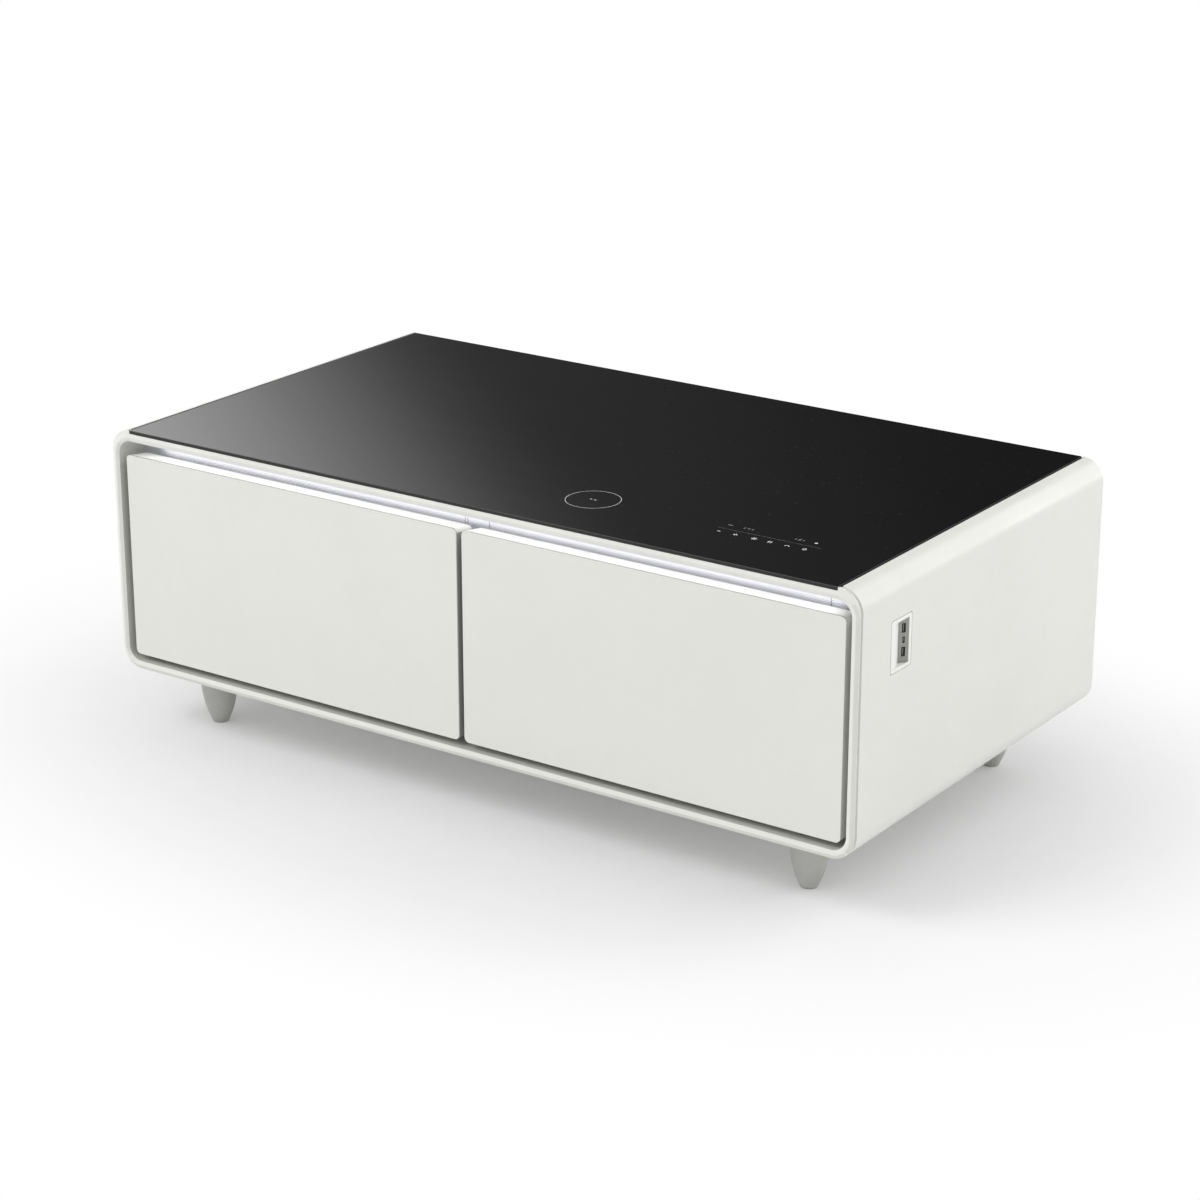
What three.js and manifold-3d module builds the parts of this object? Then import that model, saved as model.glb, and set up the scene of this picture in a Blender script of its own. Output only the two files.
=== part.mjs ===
// A low refrigerator table: a wrap-round casing on four short legs, a dark glass top, two
// refrigerated drawers on ball-bearing runners, and a machine bay across the back.
// Millimetres. +X is right, +Y is back, +Z is up. The origin is on the floor, under the
// middle of the casing.

import * as THREE from 'three';
import { mergeVertices } from 'three/addons/utils/BufferGeometryUtils.js';
import Module from 'manifold-3d';

// Overall sizes
const overallWidth = 1300;
const overallDepth = 700;
const overallHeight = 475;
const floorClearance = 94;

// Clearances
const fitGap = 0.3;
const raceGap = 0.4;
const studClearance = 0.4;
const overrun = 1;

// Casing shell and glass
const shellCornerRadius = 34.6;
const shellWall = 3;
const glassThickness = 5;
const glassFrontSetback = 2.2;
const glassBackSetback = 1;

// Front bezel: a ridged ring, a shadow groove behind it, and a throat round the drawer fronts
const bezelWidth = 12;
const ridgeHeight = 2.6;
const ridgeLip = 0.5;
const bezelEdgeDepth = 5;
const grooveDepth = 2;
const grooveWidth = 5;

// Light strip in the throat's ceiling
const ledStripWidth = 12;
const ledStripHeight = 5;
const ledStripSetback = 22;
const ledStripEndInset = 38;

// Drawer fronts
const frontRecess = 6;
const frontDepth = 39;
const frontCornerRadius = 8;
const frontSideGap = 10.8;
const frontCentreGap = 9.5;
const frontBottomGap = 10;
const fingerGap = 23;
const frontTopFall = 5.6;
const frontPlateThickness = 2;
const frontPanWall = 2.5;
const innerPanelThickness = 2;
const innerPanelInset = 4;

// Compartments, their liners and the door seals
const sealLand = 24;
const sealLandTop = 42;
const linerWall = 2;
const flangeLap = 2;
const gasketLap = 4;
const gasketWidth = 14;
const gasketThickness = 9.9;
const rearInsulationThickness = 40;

// Evaporator plates behind the liners
const evaporatorPlate = 1.5;
const evaporatorChannel = 2.5;
const evaporatorChannelWidth = 9;
const evaporatorInset = 36;

// Speaker grille and speakers
const grilleThickness = 2;
const grilleDrop = 16.5;
const grilleLap = 5;
const speakerWidth = 104;
const speakerHeight = 34;
const speakerDepth = 28;
const speakerOffset = 350;
const speakerRim = 3;
const speakerConeDepth = 12;

// Drawer boxes
const boxWall = 2.5;
const boxFloor = 3;
const boxFloorGap = 8;
const boxTopGap = 40;
const boxRearGap = 30;
const boxCornerRadius = 12;

// Ball-bearing runners
const runnerHeight = 45;
const runnerSheet = 1.2;
const runnerFlange = 10.5;
const runnerSetback = 64;
const runnerRearGap = 40;

// Legs and the rails that hold them
const legTopRadius = 30;
const legFootRadius = 12.3;
const legBellyRadius = 27;
const legBellyHeight = 22;
const legInsetX = 116.8;
const legInsetY = 87;
const studRadius = 4;
const railWidth = 60;
const railThickness = 4;
const railRearInset = 36;

// Electronics under the glass
const chargerRadius = 50;
const chargerHeight = 10;
const chargerX = 147.3;
const chargerSetback = 13.1;
const coilInnerRadius = 22;
const coilMargin = 9;
const coilGroove = 2;
const touchBoardWidth = 184;
const touchBoardDepth = 52;
const touchBoardSideInset = 76;
const touchBoardSetback = 35.4;
const boardThickness = 1.6;
const touchSpringRadius = 5;
const touchSpringHeight = 2.8;
const touchPartHeight = 4.5;
const windowMargin = 2;

// Outlet on the right side: a wedge-shaped recess with a tilted socket plate
const outletWidth = 53.4;
const outletHeight = 73.8;
const outletDepth = 24;
const outletFromFront = 86;
const outletFromTop = 66.8;
const outletBorder = 7;
const outletBorderTop = 5;
const recessDepth = 9;
const recessRamp = 26.9;
const socketPlateThickness = 8;
const socketSlotDepth = 6;
const socketPitch = 16.7;
const socketAWidth = 5.4;
const socketAHeight = 13.2;
const socketCWidth = 3.4;
const socketCHeight = 8.8;
const socketTongue = 1.6;

// Machine bay
const machineBayDepth = 194;
const rearPanelRecess = 3.5;
const rearPanelThickness = 1.5;
const ventSlotWidth = 64;
const ventSlotHeight = 5;
const ventSlotPitch = 13;
const compressorSideGap = 12;
const compressorRadius = 62;
const compressorHeight = 150;
const compressorDome = 26;
const compressorFootWidth = 176;
const compressorFootDepth = 118;
const compressorFootThickness = 5;
const pipeRadius = 4;
const stubRadius = 6.5;
const stubLength = 12;
const pipeStraight = 14;
const pipeBend = 48;
const condenserWidth = 220;
const condenserDepth = 44;
const condenserHeight = 190;
const condenserCore = 12;
const condenserStandOff = 30;
const finThickness = 3;
const fanSize = 150;
const fanDepth = 38;
const fanRim = 5;
const fanStrutWidth = 12;
const fanStrutDepth = 6;
const fanBossRadius = 22;
const fanBossDepth = 10;
const fanHubRadius = 24;
const fanHubRecess = 3.7;
const fanTipGap = 7;
const fanBladeChord = 36;
const fanBladeThickness = 2.5;
const controlBoardSideGap = 86;
const controlBoardWidth = 210;
const controlBoardDepth = 120;
const standoffHeight = 12;
const standoffSize = 10;
const transformerSize = 44;
const capacitorRadius = 11;
const capacitorHeight = 34;
const relaySize = 20;
const inletFromSide = 169;
const inletWidth = 28;
const inletHeight = 21;
const inletDepth = 24;
const inletWall = 2;
const inletFloor = 7;
const inletFlangeSide = 9;
const inletFlangeTop = 5.5;
const inletFlangeThickness = 2.5;
const inletPinWidth = 2;
const inletPinHeight = 4;
const inletPinLength = 10;
const inletPinPitch = 14;
const inletAboveFloor = 56;

// Places and proportions given as shares of the piece that carries them
const ridgeShares = [0.17, 0.34, 0.5, 0.66, 0.83];
const ridgeCrestShare = 0.5;
const ridgePower = 1.5;
const runnerHeightShare = 0.42;
const compressorStubHeightShare = 0.42;
const condenserStubHeightShare = 0.9;
const suctionOutletHeightShare = 0.72;
const suctionOutletOffsetShare = 1.9;
const fanBladePitch = Math.PI / 6;
const touchKeyShares = [-0.4, -0.24, -0.08, 0.08, 0.24, 0.4];
const touchDisplayShares = [-0.23, 0.22];
const touchRowShare = 0.3;
const touchDisplayWidthShare = 0.12;
const touchDisplayDepthShare = 0.2;
const boardPartShares = { transformer: -0.3, capacitors: [0.02, 0.16], relays: [0.29, 0.41] };
const boardRowShare = 0.22;
const inletEarthShare = 0.2;
const inletLineShare = -0.12;

// Counts
const cornerSteps = 8;
const smallCornerSteps = 4;
const roundSegments = 24;
const smallRoundSegments = 12;
const pipeSegments = 8;
const pipeSteps = 20;
const legSteps = 8;
const domeSteps = 4;
const evaporatorRuns = 6;
const finCount = 16;
const fanBlades = 7;
const ventSlots = 9;

// Derived planes of the casing
const halfWidth = overallWidth / 2;
const frontY = -overallDepth / 2;
const backY = overallDepth / 2;
const atDepth = (depth) => frontY + depth;
const glassBed = overallHeight - glassThickness - fitGap;
const glassHalf = halfWidth - shellCornerRadius - fitGap;
const shellFront = atDepth(bezelEdgeDepth + grooveWidth);
const insideHalf = halfWidth - shellWall;
const insideLow = floorClearance + shellWall;
const insideHigh = glassBed - shellWall;
const spigotHalf = insideHalf - fitGap;
const spigotLow = insideLow + fitGap;
const spigotHigh = insideHigh - fitGap;

// Derived planes of the front opening and of the drawer fronts
const openHalf = halfWidth - bezelWidth;
const openLow = floorClearance + bezelWidth;
const openHigh = overallHeight - glassThickness - bezelWidth;
const frontOuter = openHalf - frontSideGap;
const frontInner = frontCentreGap / 2;
const drawerX = (frontOuter + frontInner) / 2;
const frontHalf = (frontOuter - frontInner) / 2;
const frontLow = openLow + frontBottomGap;
const frontHigh = openHigh - fingerGap;
const frontBack = frontRecess + frontDepth;
const innerPanelBack = frontBack + fitGap + innerPanelThickness;
const throatDepth = innerPanelBack + fitGap + gasketThickness;

// Derived planes of the machine bay, from the back of the casing forwards
const rearPanelBack = backY - rearPanelRecess;
const rearPanelFront = rearPanelBack - rearPanelThickness;
const bulkheadBack = rearPanelFront - machineBayDepth;
const bulkheadFront = bulkheadBack - rearInsulationThickness;
const bayMiddle = (bulkheadBack + rearPanelFront) / 2;
const railX = halfWidth - legInsetX;
const compressorX = railX - railWidth / 2 - compressorSideGap - compressorFootWidth / 2;
const controlBoardX = -railX + railWidth / 2 + controlBoardSideGap + controlBoardWidth / 2;
const compressorLeft = compressorX - compressorFootWidth / 2;
const controlBoardRight = controlBoardX + controlBoardWidth / 2;
const condenserX = (compressorLeft + controlBoardRight) / 2;
const condenserFront = bulkheadBack + condenserStandOff;
const condenserBack = condenserFront + condenserDepth;
const fanFront = condenserBack + fitGap;
const fanBack = fanFront + fanDepth;
const fanZ = spigotLow + condenserHeight / 2;
const fanBoreRadius = fanSize / 2 - fanRim;
const inletX = -halfWidth + inletFromSide;
const inletZ = spigotLow + inletAboveFloor;

// Derived planes of the compartments
const evaporatorBack = bulkheadFront - fitGap;
const evaporatorFront = evaporatorBack - evaporatorChannel - evaporatorPlate;
const linerBackY = evaporatorFront - fitGap;
const compartmentBackY = linerBackY - linerWall;
const faceDepth = throatDepth + fitGap;
const slabDepth = faceDepth + linerWall + fitGap;
const compartmentHalf = frontHalf - sealLand;
const compartmentLow = frontLow + sealLand;
const compartmentHigh = frontHigh - sealLandTop;
const linerHalf = compartmentHalf + linerWall;
const linerLow = compartmentLow - linerWall;
const linerHigh = compartmentHigh + linerWall;
const grilleLow = frontHigh - grilleDrop;
const grilleHigh = openHigh + grilleLap;
const flangeHigh = grilleLow - fitGap;
const slabSide = drawerX + linerHalf + fitGap;
const slabCentre = drawerX - linerHalf - fitGap;
const floorSlabHigh = linerLow - fitGap;
const ceilingSlabLow = linerHigh + fitGap;

// Derived places of the electronics under the glass and of the outlet
const chargerY = atDepth(slabDepth + chargerSetback + chargerRadius);
const touchBoardX = slabSide - touchBoardSideInset - touchBoardWidth / 2;
const touchBoardY = atDepth(slabDepth + touchBoardSetback + touchBoardDepth / 2);
const outletLow = overallHeight - outletFromTop - outletHeight;

// Finishes
const white = { color: 0xe4e4de, roughness: 0.38, metalness: 0 };
const ivory = { color: 0xeaeae4, roughness: 0.32, metalness: 0 };
const blackGlass = { color: 0x0b0b0d, roughness: 0.06, metalness: 0 };
const legGrey = { color: 0xb9bab4, roughness: 0.4, metalness: 0 };
const foam = { color: 0xe8dcb4, roughness: 0.9, metalness: 0 };
const linerWhite = { color: 0xeef0f2, roughness: 0.35, metalness: 0 };
const steel = { color: 0xb8bcc0, roughness: 0.35, metalness: 1 };
const aluminium = { color: 0xd2d5d8, roughness: 0.4, metalness: 1 };
const copper = { color: 0xb87350, roughness: 0.35, metalness: 1 };
const blackPaint = { color: 0x1a1b1d, roughness: 0.5, metalness: 0 };
const blackPlastic = { color: 0x202123, roughness: 0.55, metalness: 0 };
const rubberGrey = { color: 0x8c8e8e, roughness: 0.8, metalness: 0 };
const meshWhite = { color: 0xdcdde4, roughness: 0.6, metalness: 0 };
const lampWhite = { color: 0xffffff, roughness: 0.5, metalness: 0 };
const boardGreen = { color: 0x1f5a3a, roughness: 0.6, metalness: 0 };
const socketGrey = { color: 0x9c9d98, roughness: 0.5, metalness: 0 };

// Solids
const wasm = await Module();
wasm.setup();
const quarterTurn = Math.PI / 2;
const uprightFromLathe = new THREE.Matrix4().set(1, 0, 0, 0, 0, 0, -1, 0, 0, 1, 0, 0, 0, 0, 0, 1);
const sidewaysFromShape = new THREE.Matrix4().set(0, 0, 1, 0, 1, 0, 0, 0, 0, 1, 0, 0, 0, 0, 0, 1);

// A closed geometry as a solid that can be joined and cut. Triangles that collapse to a line
// at the poles of a turned shape are left out.
function solid(geometry) {
  const bare = geometry.clone();
  bare.deleteAttribute('normal');
  bare.deleteAttribute('uv');
  const merged = mergeVertices(bare);
  const index = merged.index.array;
  const kept = [];
  for (let i = 0; i < index.length; i += 3) {
    const [a, b, c] = [index[i], index[i + 1], index[i + 2]];
    if (a !== b && b !== c && c !== a) kept.push(a, b, c);
  }
  return new wasm.Manifold(new wasm.Mesh({
    numProp: 3,
    vertProperties: new Float32Array(merged.attributes.position.array),
    triVerts: new Uint32Array(kept),
  }));
}

function geometryOf(body) {
  const mesh = body.getMesh();
  const geometry = new THREE.BufferGeometry();
  geometry.setAttribute('position', new THREE.BufferAttribute(mesh.vertProperties, 3));
  geometry.setIndex(new THREE.BufferAttribute(mesh.triVerts, 1));
  return geometry;
}

function piece(name, body, finish) {
  const mesh = new THREE.Mesh(geometryOf(body), new THREE.MeshStandardMaterial(finish));
  mesh.name = name;
  return mesh;
}

function joined(bodies) {
  return bodies.reduce((whole, body) => whole.add(body));
}

function cut(body, tools) {
  return tools.reduce((rest, tool) => rest.subtract(tool), body);
}

// A box between two planes along each axis
function block(left, right, front, back, low, high) {
  const geometry = new THREE.BoxGeometry(right - left, back - front, high - low);
  geometry.translate((left + right) / 2, (front + back) / 2, (low + high) / 2);
  return solid(geometry);
}

// The points of a rectangle with rounded corners, counter-clockwise
function roundedOutline(left, right, low, high, radius, steps) {
  const corners = [
    [right - radius, low + radius, -1],
    [right - radius, high - radius, 0],
    [left + radius, high - radius, 1],
    [left + radius, low + radius, 2],
  ];
  return corners.flatMap(([x, y, turn]) => Array.from({ length: steps + 1 }, (_, step) => {
    const angle = (turn + step / steps) * quarterTurn;
    return new THREE.Vector2(x + radius * Math.cos(angle), y + radius * Math.sin(angle));
  }));
}

function circleOutline(x, y, radius, segments) {
  return Array.from({ length: segments }, (_, step) => {
    const angle = (step / segments) * 4 * quarterTurn;
    return new THREE.Vector2(x + radius * Math.cos(angle), y + radius * Math.sin(angle));
  });
}

function extruded(outline, depth, holes) {
  const shape = new THREE.Shape(outline);
  shape.holes = holes.map((hole) => new THREE.Path(hole));
  return new THREE.ExtrudeGeometry(shape, { depth, bevelEnabled: false, steps: 1 });
}

// An outline in X and Z, drawn out from front to back
function drawnBack(outline, front, back, holes = []) {
  const geometry = extruded(outline, back - front, holes);
  geometry.applyMatrix4(uprightFromLathe);
  geometry.translate(0, back, 0);
  return geometry;
}

// An outline in X and Y, drawn out from low to high
function drawnUp(outline, low, high, holes = []) {
  const geometry = extruded(outline, high - low, holes);
  geometry.translate(0, 0, low);
  return geometry;
}

// An outline in Y and Z, drawn out from left to right
function drawnRight(outline, left, right, holes = []) {
  const geometry = extruded(outline, right - left, holes);
  geometry.applyMatrix4(sidewaysFromShape);
  geometry.translate(left, 0, 0);
  return geometry;
}

// A profile of [radius, height] points turned about the vertical axis
function turned(profile, segments) {
  const points = profile.map(([radius, height]) => new THREE.Vector2(radius, height));
  return new THREE.LatheGeometry(points, segments).applyMatrix4(uprightFromLathe);
}

// A round bar along X
function barAlongX(left, right, y, z, radius) {
  return solid(drawnRight(circleOutline(y, z, radius, smallRoundSegments), left, right));
}

function moved(body, x, y, z) {
  return body.translate([x, y, z]);
}

// The outline of the casing and that of the frame under the glass, each set in by a distance
function caseOutline(inset) {
  return roundedOutline(
    -halfWidth + inset, halfWidth - inset,
    floorClearance + inset, overallHeight - inset,
    shellCornerRadius - inset, cornerSteps,
  );
}

function frameOutline(inset) {
  return roundedOutline(
    -halfWidth + inset, halfWidth - inset,
    floorClearance + inset, overallHeight - glassThickness - inset,
    shellCornerRadius - inset, cornerSteps,
  );
}

function spigotOutline() {
  return roundedOutline(-spigotHalf, spigotHalf, spigotLow, spigotHigh, shellCornerRadius, cornerSteps);
}

// Everything that lies within the casing's inner walls
function insideSection() {
  return solid(drawnBack(spigotOutline(), frontY, backY));
}

// The space that the glass takes out of the casing's top
function glassNotch() {
  const reach = halfWidth - shellCornerRadius;
  return block(-reach, reach, frontY - overrun, backY + overrun, glassBed, overallHeight + overrun);
}

// Rings of points, one behind the other round a section, skinned to a closed band
function skinnedBand(rings) {
  const count = rings[0].outline.length;
  const points = rings.flatMap(({ outline, depth }) => outline.flatMap((p) => [p.x, atDepth(depth), p.y]));
  const faces = [];
  rings.forEach((_, ring) => {
    const next = (ring + 1) % rings.length;
    for (let i = 0; i < count; i += 1) {
      const j = (i + 1) % count;
      const corners = [ring * count + i, ring * count + j, next * count + j, next * count + i];
      faces.push(corners[0], corners[1], corners[2], corners[0], corners[2], corners[3]);
    }
  });
  const geometry = new THREE.BufferGeometry();
  geometry.setAttribute('position', new THREE.Float32BufferAttribute(points, 3));
  geometry.setIndex(faces);
  return solid(geometry);
}

function ridgeDepth(share) {
  const away = Math.abs(share - ridgeCrestShare) / ridgeCrestShare;
  return ridgeHeight * away ** ridgePower;
}

// Casing
function outletSpace(margin) {
  const front = atDepth(outletFromFront) - margin;
  const back = atDepth(outletFromFront) + outletWidth + margin;
  const inner = halfWidth - outletDepth - margin;
  const low = outletLow - margin;
  const high = outletLow + outletHeight + margin;
  return block(inner, halfWidth + overrun, front, back, low, high);
}

function legPlaces() {
  const y = overallDepth / 2 - legInsetY;
  return [
    ['front_left_leg', -railX, -y],
    ['front_right_leg', railX, -y],
    ['rear_left_leg', -railX, y],
    ['rear_right_leg', railX, y],
  ];
}

function studHoles(low, high) {
  const radius = studRadius + studClearance;
  return legPlaces().map(([, x, y]) => (
    solid(drawnUp(circleOutline(x, y, radius, smallRoundSegments), low - overrun, high + overrun))
  ));
}

function chargerWindow(margin, low) {
  const outline = circleOutline(chargerX, chargerY, chargerRadius + margin, roundSegments);
  return solid(drawnUp(outline, low, overallHeight));
}

function touchWindow(margin, low) {
  const y = touchBoardY;
  const reachX = touchBoardWidth / 2 + margin;
  const reachY = touchBoardDepth / 2 + margin;
  return block(touchBoardX - reachX, touchBoardX + reachX, y - reachY, y + reachY, low, overallHeight);
}

function outerShell() {
  const inner = roundedOutline(
    -insideHalf, insideHalf, insideLow, insideHigh, shellCornerRadius, cornerSteps,
  );
  const tube = solid(drawnBack(caseOutline(0), shellFront, backY, [inner]));
  const below = insideHigh - overrun;
  const windows = [chargerWindow(windowMargin, below), touchWindow(windowMargin, below)];
  const holes = studHoles(floorClearance, insideLow);
  return cut(tube, [glassNotch(), outletSpace(fitGap), ...windows, ...holes]);
}

function frontBezel() {
  const ridge = ridgeShares.map((share) => (
    { outline: frameOutline(share * bezelWidth), depth: ridgeDepth(share) }
  ));
  const rings = [
    { outline: caseOutline(0), depth: bezelEdgeDepth },
    { outline: caseOutline(0), depth: ridgeHeight },
    { outline: frameOutline(ridgeLip), depth: ridgeDepth(ridgeLip / bezelWidth) },
    ...ridge,
    { outline: frameOutline(bezelWidth), depth: ridgeHeight },
    { outline: frameOutline(bezelWidth), depth: bezelEdgeDepth },
  ];
  const opening = frameOutline(bezelWidth);
  const neck = drawnBack(
    caseOutline(grooveDepth),
    atDepth(bezelEdgeDepth) - overrun, shellFront,
    [opening],
  );
  const throat = drawnBack(spigotOutline(), shellFront - overrun, atDepth(throatDepth), [opening]);
  const ledFront = atDepth(ledStripSetback);
  const ledHalf = openHalf - ledStripEndInset;
  const channel = block(
    -ledHalf, ledHalf, ledFront, ledFront + ledStripWidth,
    openHigh - overrun, openHigh + ledStripHeight,
  );
  return cut(joined([skinnedBand(rings), solid(neck), solid(throat)]), [glassNotch(), channel]);
}

function ledStrip() {
  const half = openHalf - ledStripEndInset - fitGap;
  const front = atDepth(ledStripSetback) + fitGap;
  const back = atDepth(ledStripSetback) + ledStripWidth - fitGap;
  return block(-half, half, front, back, openHigh, openHigh + ledStripHeight - fitGap);
}

function glassTop() {
  const front = atDepth(glassFrontSetback);
  const back = backY - glassBackSetback;
  return block(-glassHalf, glassHalf, front, back, overallHeight - glassThickness, overallHeight);
}

function rearPanel() {
  const outline = spigotOutline();
  const slots = [compressorX, condenserX].flatMap((x) => Array.from({ length: ventSlots }, (_, row) => {
    const z = fanZ + (row - (ventSlots - 1) / 2) * ventSlotPitch;
    return roundedOutline(
      x - ventSlotWidth, x + ventSlotWidth, z - ventSlotHeight / 2, z + ventSlotHeight / 2,
      ventSlotHeight / 2, smallCornerSteps / 2,
    );
  }));
  const inlet = roundedOutline(
    inletX - inletWidth / 2 - fitGap, inletX + inletWidth / 2 + fitGap,
    inletZ - inletHeight / 2 - fitGap, inletZ + inletHeight / 2 + fitGap,
    fitGap, 1,
  );
  return solid(drawnBack(outline, rearPanelFront, rearPanelBack, [...slots, inlet]));
}

// Legs and rails
function leg() {
  const top = floorClearance - fitGap;
  const side = new THREE.QuadraticBezierCurve(
    new THREE.Vector2(legFootRadius, 0),
    new THREE.Vector2(legBellyRadius, legBellyHeight),
    new THREE.Vector2(legTopRadius, top),
  ).getPoints(legSteps).map((point) => [point.x, point.y]);
  const studTop = spigotLow + railThickness;
  const stud = [[studRadius, top], [studRadius, studTop], [0, studTop]];
  return solid(turned([[0, 0], ...side, ...stud], roundSegments));
}

function legRail(sign) {
  const x = sign * railX;
  const bar = block(
    x - railWidth / 2, x + railWidth / 2, atDepth(slabDepth), backY - railRearInset,
    spigotLow, spigotLow + railThickness,
  );
  return cut(bar, studHoles(spigotLow, spigotLow + railThickness));
}

function railPockets() {
  const reach = railWidth / 2 + fitGap;
  const front = atDepth(slabDepth) - overrun;
  return [-1, 1].map((sign) => {
    const x = sign * railX;
    const top = spigotLow + railThickness + fitGap;
    return block(x - reach, x + reach, front, backY, floorClearance, top);
  });
}

// Insulation slabs round the two compartments, all of one length from front to back
function insulationSlab(left, right, low, high) {
  return block(left, right, atDepth(slabDepth), bulkheadFront - fitGap, low, high);
}

function floorInsulation() {
  const half = slabSide - fitGap;
  return cut(insulationSlab(-half, half, spigotLow, floorSlabHigh), railPockets());
}

function ceilingInsulation() {
  const half = slabSide - fitGap;
  const slab = insulationSlab(-half, half, ceilingSlabLow, spigotHigh);
  const speakerPockets = [-1, 1].map((sign) => speakerSpace(sign * speakerOffset, fitGap));
  const chargerPocket = chargerWindow(fitGap, glassBed - chargerHeight - fitGap);
  const touchLow = glassBed - touchSpringHeight - boardThickness - touchPartHeight;
  return cut(slab, [...speakerPockets, chargerPocket, touchWindow(fitGap, touchLow - fitGap)]);
}

function sideInsulation(sign) {
  const near = Math.min(sign * slabSide, sign * spigotHalf);
  const far = Math.max(sign * slabSide, sign * spigotHalf);
  return insulationSlab(near, far, spigotLow, spigotHigh).intersect(insideSection());
}

function rearInsulation() {
  const slab = solid(drawnBack(spigotOutline(), bulkheadFront, bulkheadBack));
  return cut(slab, railPockets());
}

function centreInsulation() {
  return insulationSlab(-slabCentre, slabCentre, floorSlabHigh + fitGap, ceilingSlabLow - fitGap);
}

// The liner of one compartment: a five-sided box with a flange that the door seal meets
function liner(sign) {
  const centre = sign * drawerX;
  const outerEdge = sign * (openHalf + flangeLap);
  const innerEdge = sign * (fitGap / 2);
  const flange = block(
    Math.min(outerEdge, innerEdge), Math.max(outerEdge, innerEdge),
    atDepth(faceDepth), atDepth(faceDepth + linerWall),
    openLow - flangeLap, flangeHigh,
  );
  const tub = block(
    centre - linerHalf, centre + linerHalf,
    atDepth(faceDepth), linerBackY,
    linerLow, linerHigh,
  );
  const hollow = block(
    centre - compartmentHalf, centre + compartmentHalf,
    atDepth(faceDepth) - overrun, compartmentBackY,
    compartmentLow, compartmentHigh,
  );
  return cut(flange.intersect(insideSection()).add(tub), [hollow]);
}

// An evaporator plate with a flat channel that runs to and fro across it
function evaporator(sign) {
  const centre = sign * drawerX;
  const half = compartmentHalf - evaporatorInset;
  const low = compartmentLow + evaporatorInset;
  const high = compartmentHigh - evaporatorInset;
  const plateBack = evaporatorFront + evaporatorPlate;
  const plate = block(centre - half, centre + half, evaporatorFront, plateBack, low, high);
  const reach = half - evaporatorChannelWidth;
  const step = (high - low - 3 * evaporatorChannelWidth) / (evaporatorRuns - 1);
  const channels = Array.from({ length: evaporatorRuns }, (_, run) => {
    const z = low + evaporatorChannelWidth + run * step;
    const top = z + evaporatorChannelWidth;
    return block(centre - reach, centre + reach, evaporatorFront, evaporatorBack, z, top);
  });
  const turns = Array.from({ length: evaporatorRuns - 1 }, (_, run) => {
    const z = low + evaporatorChannelWidth + run * step;
    const side = run % 2 === 0 ? 1 : -1;
    const outer = centre + side * reach;
    const inner = outer - side * evaporatorChannelWidth;
    return block(
      Math.min(outer, inner), Math.max(outer, inner),
      evaporatorFront, evaporatorBack,
      z, z + step + evaporatorChannelWidth,
    );
  });
  return joined([plate, ...channels, ...turns]);
}

// Grille and speakers above the compartments
function speakerGrille() {
  const half = openHalf + flangeLap;
  const front = atDepth(faceDepth);
  const sheet = block(-half, half, front, front + grilleThickness, grilleLow, grilleHigh);
  return sheet.intersect(insideSection());
}

function speakerSpace(x, margin) {
  const z = (grilleLow + grilleHigh) / 2;
  return block(
    x - speakerWidth / 2 - margin, x + speakerWidth / 2 + margin,
    atDepth(slabDepth) - overrun, atDepth(slabDepth) + speakerDepth + margin,
    z - speakerHeight / 2 - margin, z + speakerHeight / 2 + margin,
  );
}

function speaker(x) {
  const z = (grilleLow + grilleHigh) / 2;
  const front = atDepth(slabDepth);
  const frame = block(
    x - speakerWidth / 2, x + speakerWidth / 2, front, front + speakerDepth,
    z - speakerHeight / 2, z + speakerHeight / 2,
  );
  const mouthRadius = speakerHeight / 2 - speakerRim;
  const cone = solid(turned([
    [0, -speakerConeDepth],
    [mouthRadius / 2, -speakerConeDepth],
    [mouthRadius, 0],
    [mouthRadius, overrun],
    [0, overrun],
  ], smallRoundSegments).applyMatrix4(uprightFromLathe));
  const spacing = speakerWidth / 4;
  return cut(frame, [-spacing, spacing].map((offset) => moved(cone, x + offset, front, z)));
}

// Electronics under the glass
function wirelessCharger() {
  const high = glassBed;
  const low = high - chargerHeight;
  const grooveFloor = high - coilGroove;
  const coilOuterRadius = chargerRadius - coilMargin;
  const disc = solid(turned([
    [0, low],
    [chargerRadius, low],
    [chargerRadius, high],
    [coilOuterRadius, high],
    [coilOuterRadius, grooveFloor],
    [coilInnerRadius, grooveFloor],
    [coilInnerRadius, high],
    [0, high],
  ], roundSegments));
  return moved(disc, chargerX, chargerY, 0);
}

function touchBoard() {
  const y = touchBoardY;
  const boardHigh = glassBed - touchSpringHeight;
  const boardLow = boardHigh - boardThickness;
  const board = block(
    touchBoardX - touchBoardWidth / 2, touchBoardX + touchBoardWidth / 2,
    y - touchBoardDepth / 2, y + touchBoardDepth / 2, boardLow, boardHigh,
  );
  const springs = touchKeyShares.map((share) => {
    const place = circleOutline(
      touchBoardX + share * touchBoardWidth, y - touchRowShare * touchBoardDepth,
      touchSpringRadius, smallRoundSegments,
    );
    return solid(drawnUp(place, boardLow, glassBed));
  });
  const displays = touchDisplayShares.map((share) => {
    const x = touchBoardX + share * touchBoardWidth;
    const halfX = touchDisplayWidthShare * touchBoardWidth / 2;
    const halfY = touchDisplayDepthShare * touchBoardDepth / 2;
    const row = y + touchRowShare * touchBoardDepth;
    return block(x - halfX, x + halfX, row - halfY, row + halfY, boardLow, glassBed);
  });
  const chip = block(
    touchBoardX - touchBoardDepth / 4, touchBoardX + touchBoardDepth / 4,
    y - touchBoardDepth / 4, y + touchBoardDepth / 4, boardLow - touchPartHeight, boardHigh,
  );
  return joined([board, chip, ...springs, ...displays]);
}

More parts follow.
